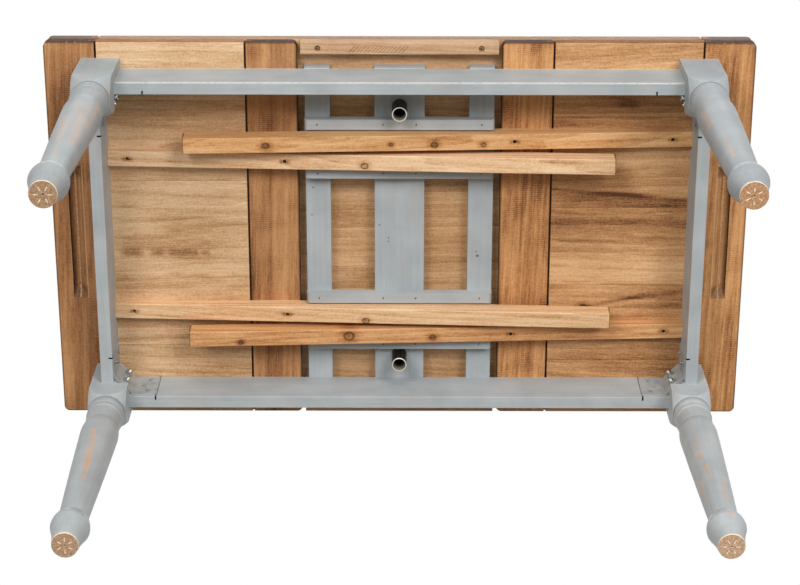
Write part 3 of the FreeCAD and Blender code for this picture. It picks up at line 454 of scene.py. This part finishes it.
# The middle of a leaf along the table, and how far from it the planks end and their tongues begin.
LEAF_MIDDLE, PLANK_END, TONGUE_START = 0.451, 0.1444, 0.1454
# The finger pull: its middle and half width along the table, its middle level and half depth, where the
# painted shade by its steep wall and at its sloped ends, and its paler lip, begin and end, and the foot of
# its slope.
PULL_MIDDLE, PULL_HALF = 0.651, 0.0152
PULL_LEVEL, PULL_DEPTH = 0.7354, 0.0072
PULL_WALL, PULL_ENDS, PULL_LIP, PULL_FOOT = (0.66, 0.6656), (0.112, 0.122), (0.6388, 0.6372), 0.6525
# How strongly fine fibres and pores show in any wood.
FIBRE_WEIGHT, PORE_WEIGHT = 0.65, 0.6


def distance_from(tree, value, middle):
    """How far a value lies from a middle one, to either side."""
    past = add(tree, "Math", {0: value, 1: middle}, operation="SUBTRACT")
    return add(tree, "Math", {0: past}, operation="ABSOLUTE")


def wood(name, tones, along, seed, cloud=1.0, figure=0.15, lines=0.3, chatter=0.0, stain=None, arris=None,
         rims=(), shift=0.0, marks=(), knots=(), seams=(), joints=False, pull=False, tip_shade=None, roughness=0.6):
    """Oiled wood: clouds and rings drawn out along the grain, dark lines, saw chatter, knots and stains.

    The seed gives each piece a grain of its own, and the shift makes all of it darker or paler. Painted shade
    darkens the joint between boards and planks, the sliding bars' free ends and the finger pulls where asked.
    """
    material, tree = blank_material(name)
    coords = add(tree, "TexCoord", {})
    at = coords.outputs["Object"]
    place = add(tree, "SeparateXYZ", {"Vector": at})
    flat = add(tree, "VectorMath", {0: at, 1: (1, 1, 0)}, operation="MULTIPLY")
    slant = Vector(ALONG[along]) + Vector((0, 0, math.radians(seed * 7 % 5 - 2)))
    turned = add(tree, "Mapping", {"Vector": at, "Rotation": slant,
                                   "Location": (seed * 0.731, seed * 0.0517 - 0.11, seed * 0.0313 + 0.04)})
    clouds = drawn_out(tree, turned, (300, 62, 62), 3, 0.55)
    # One turn of the wave is a growth ring 11 mm wide: its own scale of 20 to a unit is divided out.
    drawn = add(tree, "VectorMath", {0: turned, 1: (0.1, 1, 1)}, operation="MULTIPLY")
    rings = add(tree, "TexWave", {"Vector": drawn, "Scale": per_metre(11) * math.tau / 20, "Distortion": 14,
                                  "Detail": 3, "Detail Scale": 0.32, "Detail Roughness": 0.55},
                wave_type="RINGS", rings_direction="X", wave_profile="SAW")
    late = drawn_out(tree, turned, (330, 8, 8), 2)
    # Real fibres and pores are finer than a pixel of the picture, so they are drawn some 2 to 4 mm wide.
    fibre = drawn_out(tree, turned, (32, 2.2, 2.2), 4, 0.6)
    pores = add(tree, "TexNoise", {"Vector": at, "Scale": per_metre(4.5), "Detail": 3, "Roughness": 0.7})
    # All the patterns together keep the middle tone, apart from the piece's own shift.
    ground = 0.5 + shift - (figure + cloud + lines + FIBRE_WEIGHT + PORE_WEIGHT) / 2
    tone = add(tree, "Math", {0: rings.outputs["Fac"], 1: figure, 2: ground}, operation="MULTIPLY_ADD")
    for pattern, weight in ((clouds, cloud), (late, lines), (fibre, FIBRE_WEIGHT), (pores, PORE_WEIGHT)):
        tone = add(tree, "Math", {0: pattern, 1: weight, 2: tone}, operation="MULTIPLY_ADD")
    height = fibre
    if chatter:
        # The saw's teeth left lines across the grain, in patches.
        teeth = add(tree, "TexWave", {"Vector": turned, "Scale": per_metre(4) * math.tau / 20,
                                      "Distortion": 4, "Detail": 2, "Detail Scale": 0.8},
                    wave_type="BANDS", bands_direction="X")
        patch = add(tree, "TexNoise", {"Vector": at, "Scale": per_metre(70), "Detail": 2})
        patch = add(tree, "MapRange", {"Value": patch, "From Min": 0.5, "From Max": 0.68, "To Max": chatter})
        teeth = add(tree, "Math", {0: teeth.outputs["Fac"], 1: patch}, operation="MULTIPLY")
        tone = add(tree, "Math", {0: teeth, 1: tone}, operation="ADD")
        height = add(tree, "Math", {0: teeth, 1: -1.5, 2: fibre}, operation="MULTIPLY_ADD")
    for start, end, half, darkness in marks:
        # A mark fades to its sides and towards both its ends.
        share = add(tree, "MapRange", {"Value": place.outputs["X"], "From Min": start[0] / 1000,
                                       "From Max": end[0] / 1000})
        near = add(tree, "Mix", {0: share, 4: (start[0] / 1000, start[1] / 1000, 0),
                                 5: (end[0] / 1000, end[1] / 1000, 0)}, data_type="VECTOR")
        away = add(tree, "VectorMath", {0: flat, 1: near}, operation="DISTANCE")
        ragged = add(tree, "Math", {0: late, 1: half / 700, 2: away}, operation="MULTIPLY_ADD")
        mark = add(tree, "MapRange", {"Value": ragged, "From Min": half * 2.2 / 1000,
                                      "From Max": half * 0.6 / 1000, "To Max": darkness})
        taper = add(tree, "MapRange", {"Value": distance_from(tree, share, 0.5), "From Min": 0.5,
                                       "From Max": 0.22})
        tone = add(tree, "Math", {0: mark, 1: taper, 2: tone}, operation="MULTIPLY_ADD")
    for edge in seams:
        seam = add(tree, "MapRange", {"Value": distance_from(tree, place.outputs["Y"], edge),
                                      "From Min": 0.0012, "From Max": 0.0004, "To Max": 0.18})
        tone = add(tree, "Math", {0: seam, 1: tone}, operation="ADD")
    barks = []
    for x, y, half in knots:
        # A knot has a core, a halo of bent grain and a ring of dark bark between them.
        away = add(tree, "VectorMath", {0: flat, 1: (x / 1000, y / 1000, 0)}, operation="SUBTRACT")
        away = add(tree, "VectorMath", {0: away, 1: per_metre(half * 1.2, half, half)}, operation="MULTIPLY")
        away = add(tree, "VectorMath", {0: away}, operation="LENGTH")
        ragged = add(tree, "Math", {0: pores, 1: 0.7, 2: away}, operation="MULTIPLY_ADD")
        core = add(tree, "MapRange", {"Value": ragged, "From Min": 1.4, "From Max": 1.0, "To Max": 0.12})
        halo = add(tree, "MapRange", {"Value": ragged, "From Min": 3.2, "From Max": 1.2, "To Max": 0.3})
        tone = add(tree, "Math", {0: core, 1: tone}, operation="ADD")
        tone = add(tree, "Math", {0: halo, 1: tone}, operation="ADD")
        barks.append(add(tree, "MapRange", {"Value": distance_from(tree, ragged, 1.25), "From Min": 0.3,
                                            "From Max": 0.08, "To Max": 0.8}))
    colour = add(tree, "ValToRGB", {"Fac": tone}, zip((0.14, 0.42, 0.68, 1.0), tones))
    for bark in barks:
        colour = add(tree, "Mix", {0: bark, 6: colour, 7: linear("#3b2315")}, data_type="RGBA")
    if joints:
        # Painted shade: the tongues that show where each board meets the planks are painted near black, as
        # the shade in the gap.
        out = add(tree, "Math", {0: place.outputs["X"]}, operation="ABSOLUTE")
        gap_shade = add(tree, "MapRange", {"Value": distance_from(tree, out, LEAF_MIDDLE), "From Min": PLANK_END,
                                     "From Max": TONGUE_START, "To Max": 0.92})
        colour = add(tree, "Mix", {0: gap_shade, 6: colour, 7: linear("#3d2a1b")}, data_type="RGBA")
    for axis, edge in rims:
        # Stain gathered along the eased outer edges.
        out = add(tree, "Math", {0: place.outputs[axis]}, operation="ABSOLUTE")
        ragged = add(tree, "Math", {0: pores, 1: 0.003, 2: distance_from(tree, out, edge)},
                     operation="MULTIPLY_ADD")
        rim = add(tree, "MapRange", {"Value": ragged, "From Min": 0.0058, "From Max": 0.0028, "To Max": 0.75})
        colour = add(tree, "Mix", {0: rim, 6: colour, 7: linear("#402818")}, data_type="RGBA")
    if arris:
        # Eased arrises are polished pale.
        shade, strength = arris
        worn = arris_wear(tree, 0.003, 0.87, strength)
        colour = add(tree, "Mix", {0: worn, 6: colour, 7: linear(shade)}, data_type="RGBA")
    if tip_shade:
        # Painted shade: the free end's rounded corner is darkened as the shade on it.
        near = add(tree, "MapRange", {"Value": distance_from(tree, place.outputs["X"], tip_shade),
                                      "From Min": 0.0048, "From Max": 0.0026, "To Max": 0.8})
        colour = add(tree, "Mix", {0: near, 6: colour, 7: linear("#4a2e1c")}, data_type="RGBA")
    if pull:
        # The finger pull was cut after staining. Painted shade darkens it by its steep wall and at its ends.
        out = add(tree, "Math", {0: place.outputs["X"]}, operation="ABSOLUTE")
        within = add(tree, "Math", {0: out, 1: PULL_MIDDLE, 2: PULL_HALF}, operation="COMPARE")
        deep = add(tree, "Math", {0: place.outputs["Z"], 1: PULL_LEVEL, 2: PULL_DEPTH}, operation="COMPARE")
        inside = add(tree, "Math", {0: within, 1: deep}, operation="MULTIPLY")
        wall = add(tree, "MapRange", {"Value": out, "From Min": PULL_WALL[0], "From Max": PULL_WALL[1],
                                      "To Min": 0.06, "To Max": 0.5})
        end = add(tree, "Math", {0: place.outputs["Y"]}, operation="ABSOLUTE")
        end = add(tree, "MapRange", {"Value": end, "From Min": PULL_ENDS[0], "From Max": PULL_ENDS[1],
                                     "To Max": 0.6})
        pull_shade = add(tree, "Math", {0: wall, 1: end}, operation="MAXIMUM")
        # Its lip's edge and a streak at the foot of its slope are paler.
        lip = add(tree, "MapRange", {"Value": out, "From Min": PULL_LIP[0], "From Max": PULL_LIP[1],
                                     "To Max": 0.55})
        streak = add(tree, "Math", {0: pores, 1: 0.006, 2: distance_from(tree, out, PULL_FOOT)},
                     operation="MULTIPLY_ADD")
        streak = add(tree, "MapRange", {"Value": streak, "From Min": 0.0052, "From Max": 0.003,
                                        "To Max": 0.55})
        for mark, shade in ((pull_shade, "#4a2f1e"), (lip, "#f0cda4"), (streak, "#e6bf95")):
            mark = add(tree, "Math", {0: mark, 1: inside}, operation="MULTIPLY")
            colour = add(tree, "Mix", {0: mark, 6: colour, 7: linear(shade)}, data_type="RGBA")
    sheen = 0.25
    if stain:
        # End grain and sawn sides are dark and dull.
        cover, dark, pale = stain
        level = add(tree, "SeparateXYZ", {"Vector": coords.outputs["Normal"]})
        level = add(tree, "Math", {0: level.outputs["Z"]}, operation="ABSOLUTE")
        side = add(tree, "MapRange", {"Value": level, "From Min": 0.8, "From Max": 0.3, "To Max": cover})
        sheen = add(tree, "MapRange", {"Value": level, "From Min": 0.3, "From Max": 0.8,
                                       "To Min": 0.05, "To Max": 0.25})
        dirt = add(tree, "TexNoise", {"Vector": at, "Scale": per_metre(9), "Detail": 3})
        dirt = add(tree, "ValToRGB", {"Fac": dirt}, ((0.35, dark), (0.7, pale)))
        colour = add(tree, "Mix", {0: side, 6: colour, 7: dirt}, data_type="RGBA")
    gloss = add(tree, "MapRange", {"Value": fibre, "To Min": roughness - 0.1, "To Max": roughness + 0.1})
    bump = add(tree, "Bump", {"Height": height, "Strength": 0.3, "Distance": 0.0005})
    shader = add(tree, "BsdfPrincipled", {"Base Color": colour, "Roughness": gloss,
                                          "Specular IOR Level": sheen, "Normal": bump})
    add(tree, "OutputMaterial", {"Surface": shader})
    return material


BOARD_TONES = {
    "left": ("#c79767", "#b58357", "#9b6b44", "#613c23"),
    "right": ("#e3af78", "#d09965", "#b47e4f", "#72472a"),
}
# Sides and ends of the boards and planks are darker: how much, and the two tones of their stain.
END_STAIN = (0.92, "#2a1c14", "#4c3528")
SIDE_STAIN = (0.65, "#5d3920", "#91603a")
BOARD_RIMS = {"outer": (("X", 0.7), ("Y", 0.396)), "inner": (("X", 0.202), ("Y", 0.396))}
PLANK_TONES = {
    "left": ("#eecfab", "#dcb890", "#c1966b", "#815a3a"),
    "right": ("#e6bb8d", "#ce9e6e", "#ab7a4f", "#5c361d"),
}
# How much darker each plank of a leaf is than the leaf's tones.
PLANK_SHIFTS = {"left": (0, 0, -0.06, 0.07, 0.1), "right": (0.05, 0.05, 0, 0, -0.02)}
# Marks are a start, an end, a half width in millimetres, and how much darker they are.
LEAF_MARKS = {
    "left": [((-572, 44), (-516, 44), 10, 0.42), ((-510, 44), (-472, 44), 9, 0.36),
             ((-476, 44), (-430, 44), 10, 0.38), ((-442, 44), (-404, 44), 9, 0.38),
             ((-408, 43), (-380, 43), 8, 0.32), ((-640, 24), (-250, 32), 20, 0.2),
             ((-680, 74), (-230, 72), 15, -0.2), ((-680, -60), (-250, -40), 5, 0.16),
             ((-680, -92), (-250, -70), 4, 0.16), ((-680, 238), (-250, 222), 7, 0.24),
             ((-680, -240), (-250, -205), 8, 0.12), ((-480, 85), (-370, 100), 6, 0.16)],
    "right": [((180, -104), (520, -77), 5, 0.26), ((340, -93), (720, -57), 5, 0.3),
              ((180, -92), (720, -60), 12, 0.18), ((220, -72), (700, -50), 20, 0.2),
              ((200, -36), (700, -16), 30, 0.2), ((250, 14), (520, 20), 4, 0.2),
              ((440, 8), (680, 14), 4, 0.22), ((200, 82), (700, 76), 28, -0.3),
              ((370, 160), (520, 132), 4, 0.35), ((420, 148), (700, 108), 6, 0.22),
              ((370, 164), (700, 150), 7, 0.2), ((250, 125), (460, 122), 14, -0.25),
              ((425, -275), (480, -269), 9, 0.3), ((305, -300), (600, -262), 5, 0.14),
              ((310, -150), (600, -130), 18, -0.15)],
}
# Knots are a spot and a half width in millimetres.
LEAF_KNOTS = {"left": [], "right": [(377, 160, 6)]}
for number, side in enumerate(("left", "right")):
    for place in ("outer", "inner"):
        board = f"{side}_leaf_{place}_board"
        dress(wood(f"stained_hardwood_{board}", BOARD_TONES[side], "Y", number * 5 + len(place), cloud=1.3,
                   lines=0.8, chatter=0.3, stain=END_STAIN, rims=BOARD_RIMS[place], pull=place == "outer"),
              board)
    for count in range(1, 6):
        plank = f"{side}_leaf_plank_{count}"
        low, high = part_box(plank)
        marks = [mark for mark in LEAF_MARKS[side] if low.y < mark[0][1] / 1000 < high.y]
        knots = [knot for knot in LEAF_KNOTS[side] if low.y < knot[1] / 1000 < high.y]
        dress(wood(f"oiled_hardwood_{plank}", PLANK_TONES[side], "X", number * 7 + count * 3,
                   stain=SIDE_STAIN, shift=PLANK_SHIFTS[side][count - 1], marks=marks, knots=knots,
                   seams=(low.y, high.y), joints=True), plank)


# Sliding bars: planed softwood, straight in the grain with a few knots, wedge cut so that they run downhill.
# Two dark screws each hold them up in the leaf, sunk in bored recesses.

BAR_TONES = {
    "right_leaf_front_loper": ("#ecc291", "#ddad7a", "#c68f59", "#744524"),
    "left_leaf_front_loper": ("#f5d9b5", "#edc9a1", "#daad80", "#8b5d37"),
    "left_leaf_back_loper": ("#f1d2ab", "#e6bf94", "#d2a375", "#875a34"),
    "right_leaf_back_loper": ("#ecbc89", "#d7a370", "#bc8352", "#6c3f21"),
}
BAR_ARRIS = ("#f2d8b4", 0.6)
BAR_KNOTS = {
    "right_leaf_front_loper": [(-263, -204, 6), (-17, -203, 3.5), (69, -201, 6), (166, -200, 4.5)],
    "left_leaf_front_loper": [(-69, -157, 6)],
    "left_leaf_back_loper": [(-68, 173, 6)],
    "right_leaf_back_loper": [(-102, 203, 9), (68, 209, 5.5), (-322, 213, 4.5)],
}
# The screws' places along a bar and the level of their heads, in millimetres. Each recess has a bruised rim,
# drawn as a mark that reaches to both sides of its screw.
BAR_SCREWS = (227.5, 541.5)
BAR_SCREW_LEVEL = 715
BRUISE_REACH, BRUISE_HALF, BRUISE_DARKNESS = 14, 5, 0.5
for number, (bar, tones) in enumerate(BAR_TONES.items()):
    low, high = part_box(bar)
    middle = (low.y + high.y) / 2 * 1000
    turn = -1 if bar.startswith("left") else 1
    marks = [((turn * along - BRUISE_REACH, middle), (turn * along + BRUISE_REACH, middle), BRUISE_HALF,
              BRUISE_DARKNESS) for along in BAR_SCREWS]
    dress(wood(f"planed_softwood_{bar}", tones, "X", 11 + number * 5, cloud=0.5, figure=0.2, lines=0.7,
               arris=BAR_ARRIS, marks=marks, knots=BAR_KNOTS[bar], tip_shade=high.x if turn < 0 else low.x,
               roughness=0.5), bar)
browned_steel = plated_steel("browned_steel", "#7d684d", "#a08a6a", 0.5)
for side, turn, across in (("left", -1, 163), ("right", 1, 205)):
    places = [facing((0, 0, 1), (turn * along, end * across, BAR_SCREW_LEVEL))
              for along in BAR_SCREWS for end in (-1, 1)]
    bar_screw = screw(head=0.004, height=0.003, shank=0.0019, length=0.028)
    stand_for(f"{side}_leaf_loper_screws", repeat(bar_screw, places), browned_steel, f"{side}_leaf")


# Top: planks between two stained boards, floating on the leaves and slats. Filler battens along its long
# edges close the gap between the leaves, each sawn rough and held by two sunk screws.

TOP_TONES = ("#e1bb90", "#cda278", "#b0865b", "#724c2d")
BATTEN_TONES = ("#d2b08c", "#c09b78", "#a9815e", "#6f4c33")
for count in range(1, 6):
    plank = f"top_plank_{count}"
    dress(wood(f"oiled_hardwood_{plank}", TOP_TONES, "X", 20 + count * 3, stain=SIDE_STAIN, roughness=0.45),
          plank)
for side in ("left", "right"):
    board = f"top_{side}_end_board"
    dress(wood(f"stained_hardwood_{board}", BOARD_TONES[side], "Y", 31 + len(side), lines=0.7,
               stain=END_STAIN, roughness=0.45), board)
# A saw's teeth nicked the front batten in a row of slanting marks: where the first starts and ends, the step
# to the next and their half width, all in millimetres, then how dark they are, and how many.
NICK_START, NICK_END, NICK_STEP = (-102, -375), (-86, -389), 7.5
NICK_HALF, NICK_DARKNESS, NICK_COUNT = 1.4, 0.5, 15
nicks = []
for count in range(NICK_COUNT):
    along = NICK_STEP * count
    nicks.append(((NICK_START[0] + along, NICK_START[1]), (NICK_END[0] + along, NICK_END[1]), NICK_HALF,
                  NICK_DARKNESS))
for end in ("front", "back"):
    dress(wood(f"sawn_softwood_{end}_batten", BATTEN_TONES, "X", 40 + len(end), lines=0.9, chatter=0.2,
               marks=nicks if end == "front" else ()), f"{end}_filler_batten")
# The screw heads in the battens, in millimetres out from the middle, and their level.
BATTEN_SCREW_X, BATTEN_SCREW_Y, BATTEN_SCREW_LEVEL = 161, 383.5, 730
places = [facing((0, 0, 1), (side * BATTEN_SCREW_X, end * BATTEN_SCREW_Y, BATTEN_SCREW_LEVEL))
          for side in (-1, 1) for end in (-1, 1)]
batten_screw = screw(head=0.004, height=0.003, shank=0.0019, length=0.0393)
stand_for("batten_screws", repeat(batten_screw, places), browned_steel, "top")


# Guide tubes: two steel tubes let into the top, which hang through the wide slat. They are burnished dark
# where they slide, their rounded ends are bright, and dust has greyed them inside.

TUBE_RADIUS, TUBE_BORE, TUBE_FOOT, TUBE_HEAD, TUBE_EASE = 0.015, 0.0125, 0.671, 0.7643, 0.0007
TUBE_PLACE = 0.266
# Between which heights over the foot the dust inside and the brightness of the end fade, and how far out from
# the bore the inside ends.
TUBE_DUST, TUBE_BRIGHT, TUBE_LINING = (0.036, 0.006), (0.0014, 0.0006), (0.0008, 0.0004)
burnished_tube, tree = blank_material("burnished_tube")
at = add(tree, "TexCoord", {}).outputs["Object"]
place = add(tree, "SeparateXYZ", {"Vector": at})
scuffs = drawn_out(tree, at, (3, 3, 40), 3)
dark = add(tree, "ValToRGB", {"Fac": scuffs}, ((0.35, "#2b2520"), (0.7, "#5a5147")))
across = add(tree, "Math", {0: place.outputs["Y"]}, operation="ABSOLUTE")
across = add(tree, "Math", {0: across, 1: TUBE_PLACE}, operation="SUBTRACT")
spoke = add(tree, "CombineXYZ", {"X": place.outputs["X"], "Y": across})
spoke = add(tree, "VectorMath", {0: spoke}, operation="LENGTH")
bore = add(tree, "MapRange", {"Value": spoke, "From Min": TUBE_BORE + TUBE_LINING[0],
                              "From Max": TUBE_BORE + TUBE_LINING[1]})
deep = add(tree, "MapRange", {"Value": place.outputs["Z"], "From Min": TUBE_FOOT + TUBE_DUST[0],
                              "From Max": TUBE_FOOT + TUBE_DUST[1]})
dust = add(tree, "Math", {0: bore, 1: deep}, operation="MULTIPLY")
dark = add(tree, "Mix", {0: dust, 6: dark, 7: linear("#857d70")}, data_type="RGBA")
end = add(tree, "MapRange", {"Value": place.outputs["Z"], "From Min": TUBE_FOOT + TUBE_BRIGHT[0],
                             "From Max": TUBE_FOOT + TUBE_BRIGHT[1]})
steel = add(tree, "Mix", {0: end, 6: dark, 7: linear("#d3cfc4")}, data_type="RGBA")
gloss = add(tree, "MapRange", {"Value": scuffs, "To Min": 0.3, "To Max": 0.6})
bare = add(tree, "MapRange", {"Value": bore, "To Min": 1.0, "To Max": 0.0})
bump = add(tree, "Bump", {"Height": scuffs, "Strength": 0.15, "Distance": 0.0002})
shader = add(tree, "BsdfPrincipled", {"Base Color": steel, "Metallic": bare, "Roughness": gloss,
                                      "Normal": bump})
add(tree, "OutputMaterial", {"Surface": shader})
outline = [(TUBE_BORE, TUBE_FOOT + 2 * TUBE_EASE), (TUBE_BORE + TUBE_EASE, TUBE_FOOT),
           (TUBE_RADIUS - TUBE_EASE, TUBE_FOOT), (TUBE_RADIUS, TUBE_FOOT + TUBE_EASE),
           (TUBE_RADIUS, TUBE_HEAD), (TUBE_BORE, TUBE_HEAD)]
for end, along in (("front", -TUBE_PLACE), ("back", TUBE_PLACE)):
    tube = repeat(turned_round(outline, 48, ring=True), [Matrix.Translation((0, along, 0))])
    stand_for(f"{end}_guide_tube", tube, burnished_tube, "top")


# Floor: a plain pale sheet under the feet. The photograph is taken from under it, so it is see-through from
# below and casts no shade on the table.

# Half the sheet's width, and how far it lies below the feet, so that it doesn't touch them.
FLOOR_HALF, FLOOR_DROP = 9, 0.0004
floor_mesh = bpy.data.meshes.new("floor")
shape = bmesh.new()
bmesh.ops.create_grid(shape, x_segments=1, y_segments=1, size=FLOOR_HALF)
bmesh.ops.translate(shape, vec=(0, 0, -FLOOR_DROP), verts=shape.verts)
shape.to_mesh(floor_mesh)
shape.free()
floor = bpy.data.objects.new("floor", floor_mesh)
bpy.context.scene.collection.objects.link(floor)
floor.visible_shadow = False
floor.visible_diffuse = False
floor.visible_glossy = False
pale_floor, tree = blank_material("pale_floor")
pale = add(tree, "BsdfDiffuse", {"Color": linear("#f2f1ee")})
clear = add(tree, "BsdfTransparent", {})
under = add(tree, "NewGeometry", {})
both = add(tree, "MixShader", {0: under.outputs["Backfacing"], 1: pale, 2: clear})
add(tree, "OutputMaterial", {"Surface": both})
floor_mesh.materials.append(pale_floor)


# Light: two large soft lamps far below, in front and to the sides, as in the photograph, and a weak one low
# in front. One above and one behind serve the other views, with a pale studio all round, white to the camera.

# Each lamp has a name, a spot, a point that it is aimed at, a width and a depth in metres, and a power.
LAMPS = (
    ("lamp_below_left", (-6.2, -9.53, -10.65), (0, 0, 0.7), 7.0, 5.8, 1150),
    ("lamp_below_right", (7.2, -9.53, -10.65), (0, 0, 0.7), 7.0, 5.8, 1370),
    ("lamp_front", (0.2, -6.0, -1.4), (0, 0, 0.68), 3.0, 2.0, 72),
    ("lamp_above", (0, 0, 8.0), (0, 0, 0.75), 5.0, 5.0, 340),
    ("lamp_behind", (0, 11.0, 3.0), (0, 0, 0.6), 4.0, 2.5, 180),
)
for name, spot, aim, width, depth, power in LAMPS:
    lamp = bpy.data.objects.new(name, bpy.data.lights.new(name, "AREA"))
    lamp.data.shape = "RECTANGLE"
    lamp.data.size = width
    lamp.data.size_y = depth
    lamp.data.energy = power
    lamp.location = spot
    lamp.rotation_euler = (Vector(aim) - Vector(spot)).to_track_quat("-Z", "Y").to_euler()
    lamp.visible_camera = False
    bpy.context.scene.collection.objects.link(lamp)

world = bpy.data.worlds.new("studio")
bpy.context.scene.world = world
world.use_nodes = True
tree = world.node_tree
tree.nodes.clear()
ray = add(tree, "LightPath", {})
seen = add(tree, "Math", {0: ray.outputs["Is Camera Ray"], 1: ray.outputs["Is Glossy Ray"]},
           operation="MAXIMUM")
seen = add(tree, "Math", {0: seen, 1: ray.outputs["Is Transmission Ray"]}, operation="MAXIMUM")
soft = add(tree, "Background", {"Color": linear("#fff1e0"), "Strength": 0.26})
white = add(tree, "Background", {"Color": linear("#ffffff"), "Strength": 1.0})
sky = add(tree, "MixShader", {0: seen, 1: soft, 2: white})
add(tree, "OutputWorld", {"Surface": sky})


# Camera: below the floor and in front of the table, looking up at the underside through a long lens. Its
# place, turn and lens are worked out from the table's straight edges in the photograph.

camera = bpy.data.objects.new("camera", bpy.data.cameras.new("camera"))
camera.data.sensor_width = 36
camera.data.lens = 95.8
camera.location = (0.0085, -1.4507, -3.3347)
camera.rotation_euler = [math.radians(turn) for turn in (158.749, -0.127, -0.067)]
bpy.context.scene.collection.objects.link(camera)
bpy.context.scene.camera = camera
bpy.context.scene.view_settings.view_transform = "Standard"
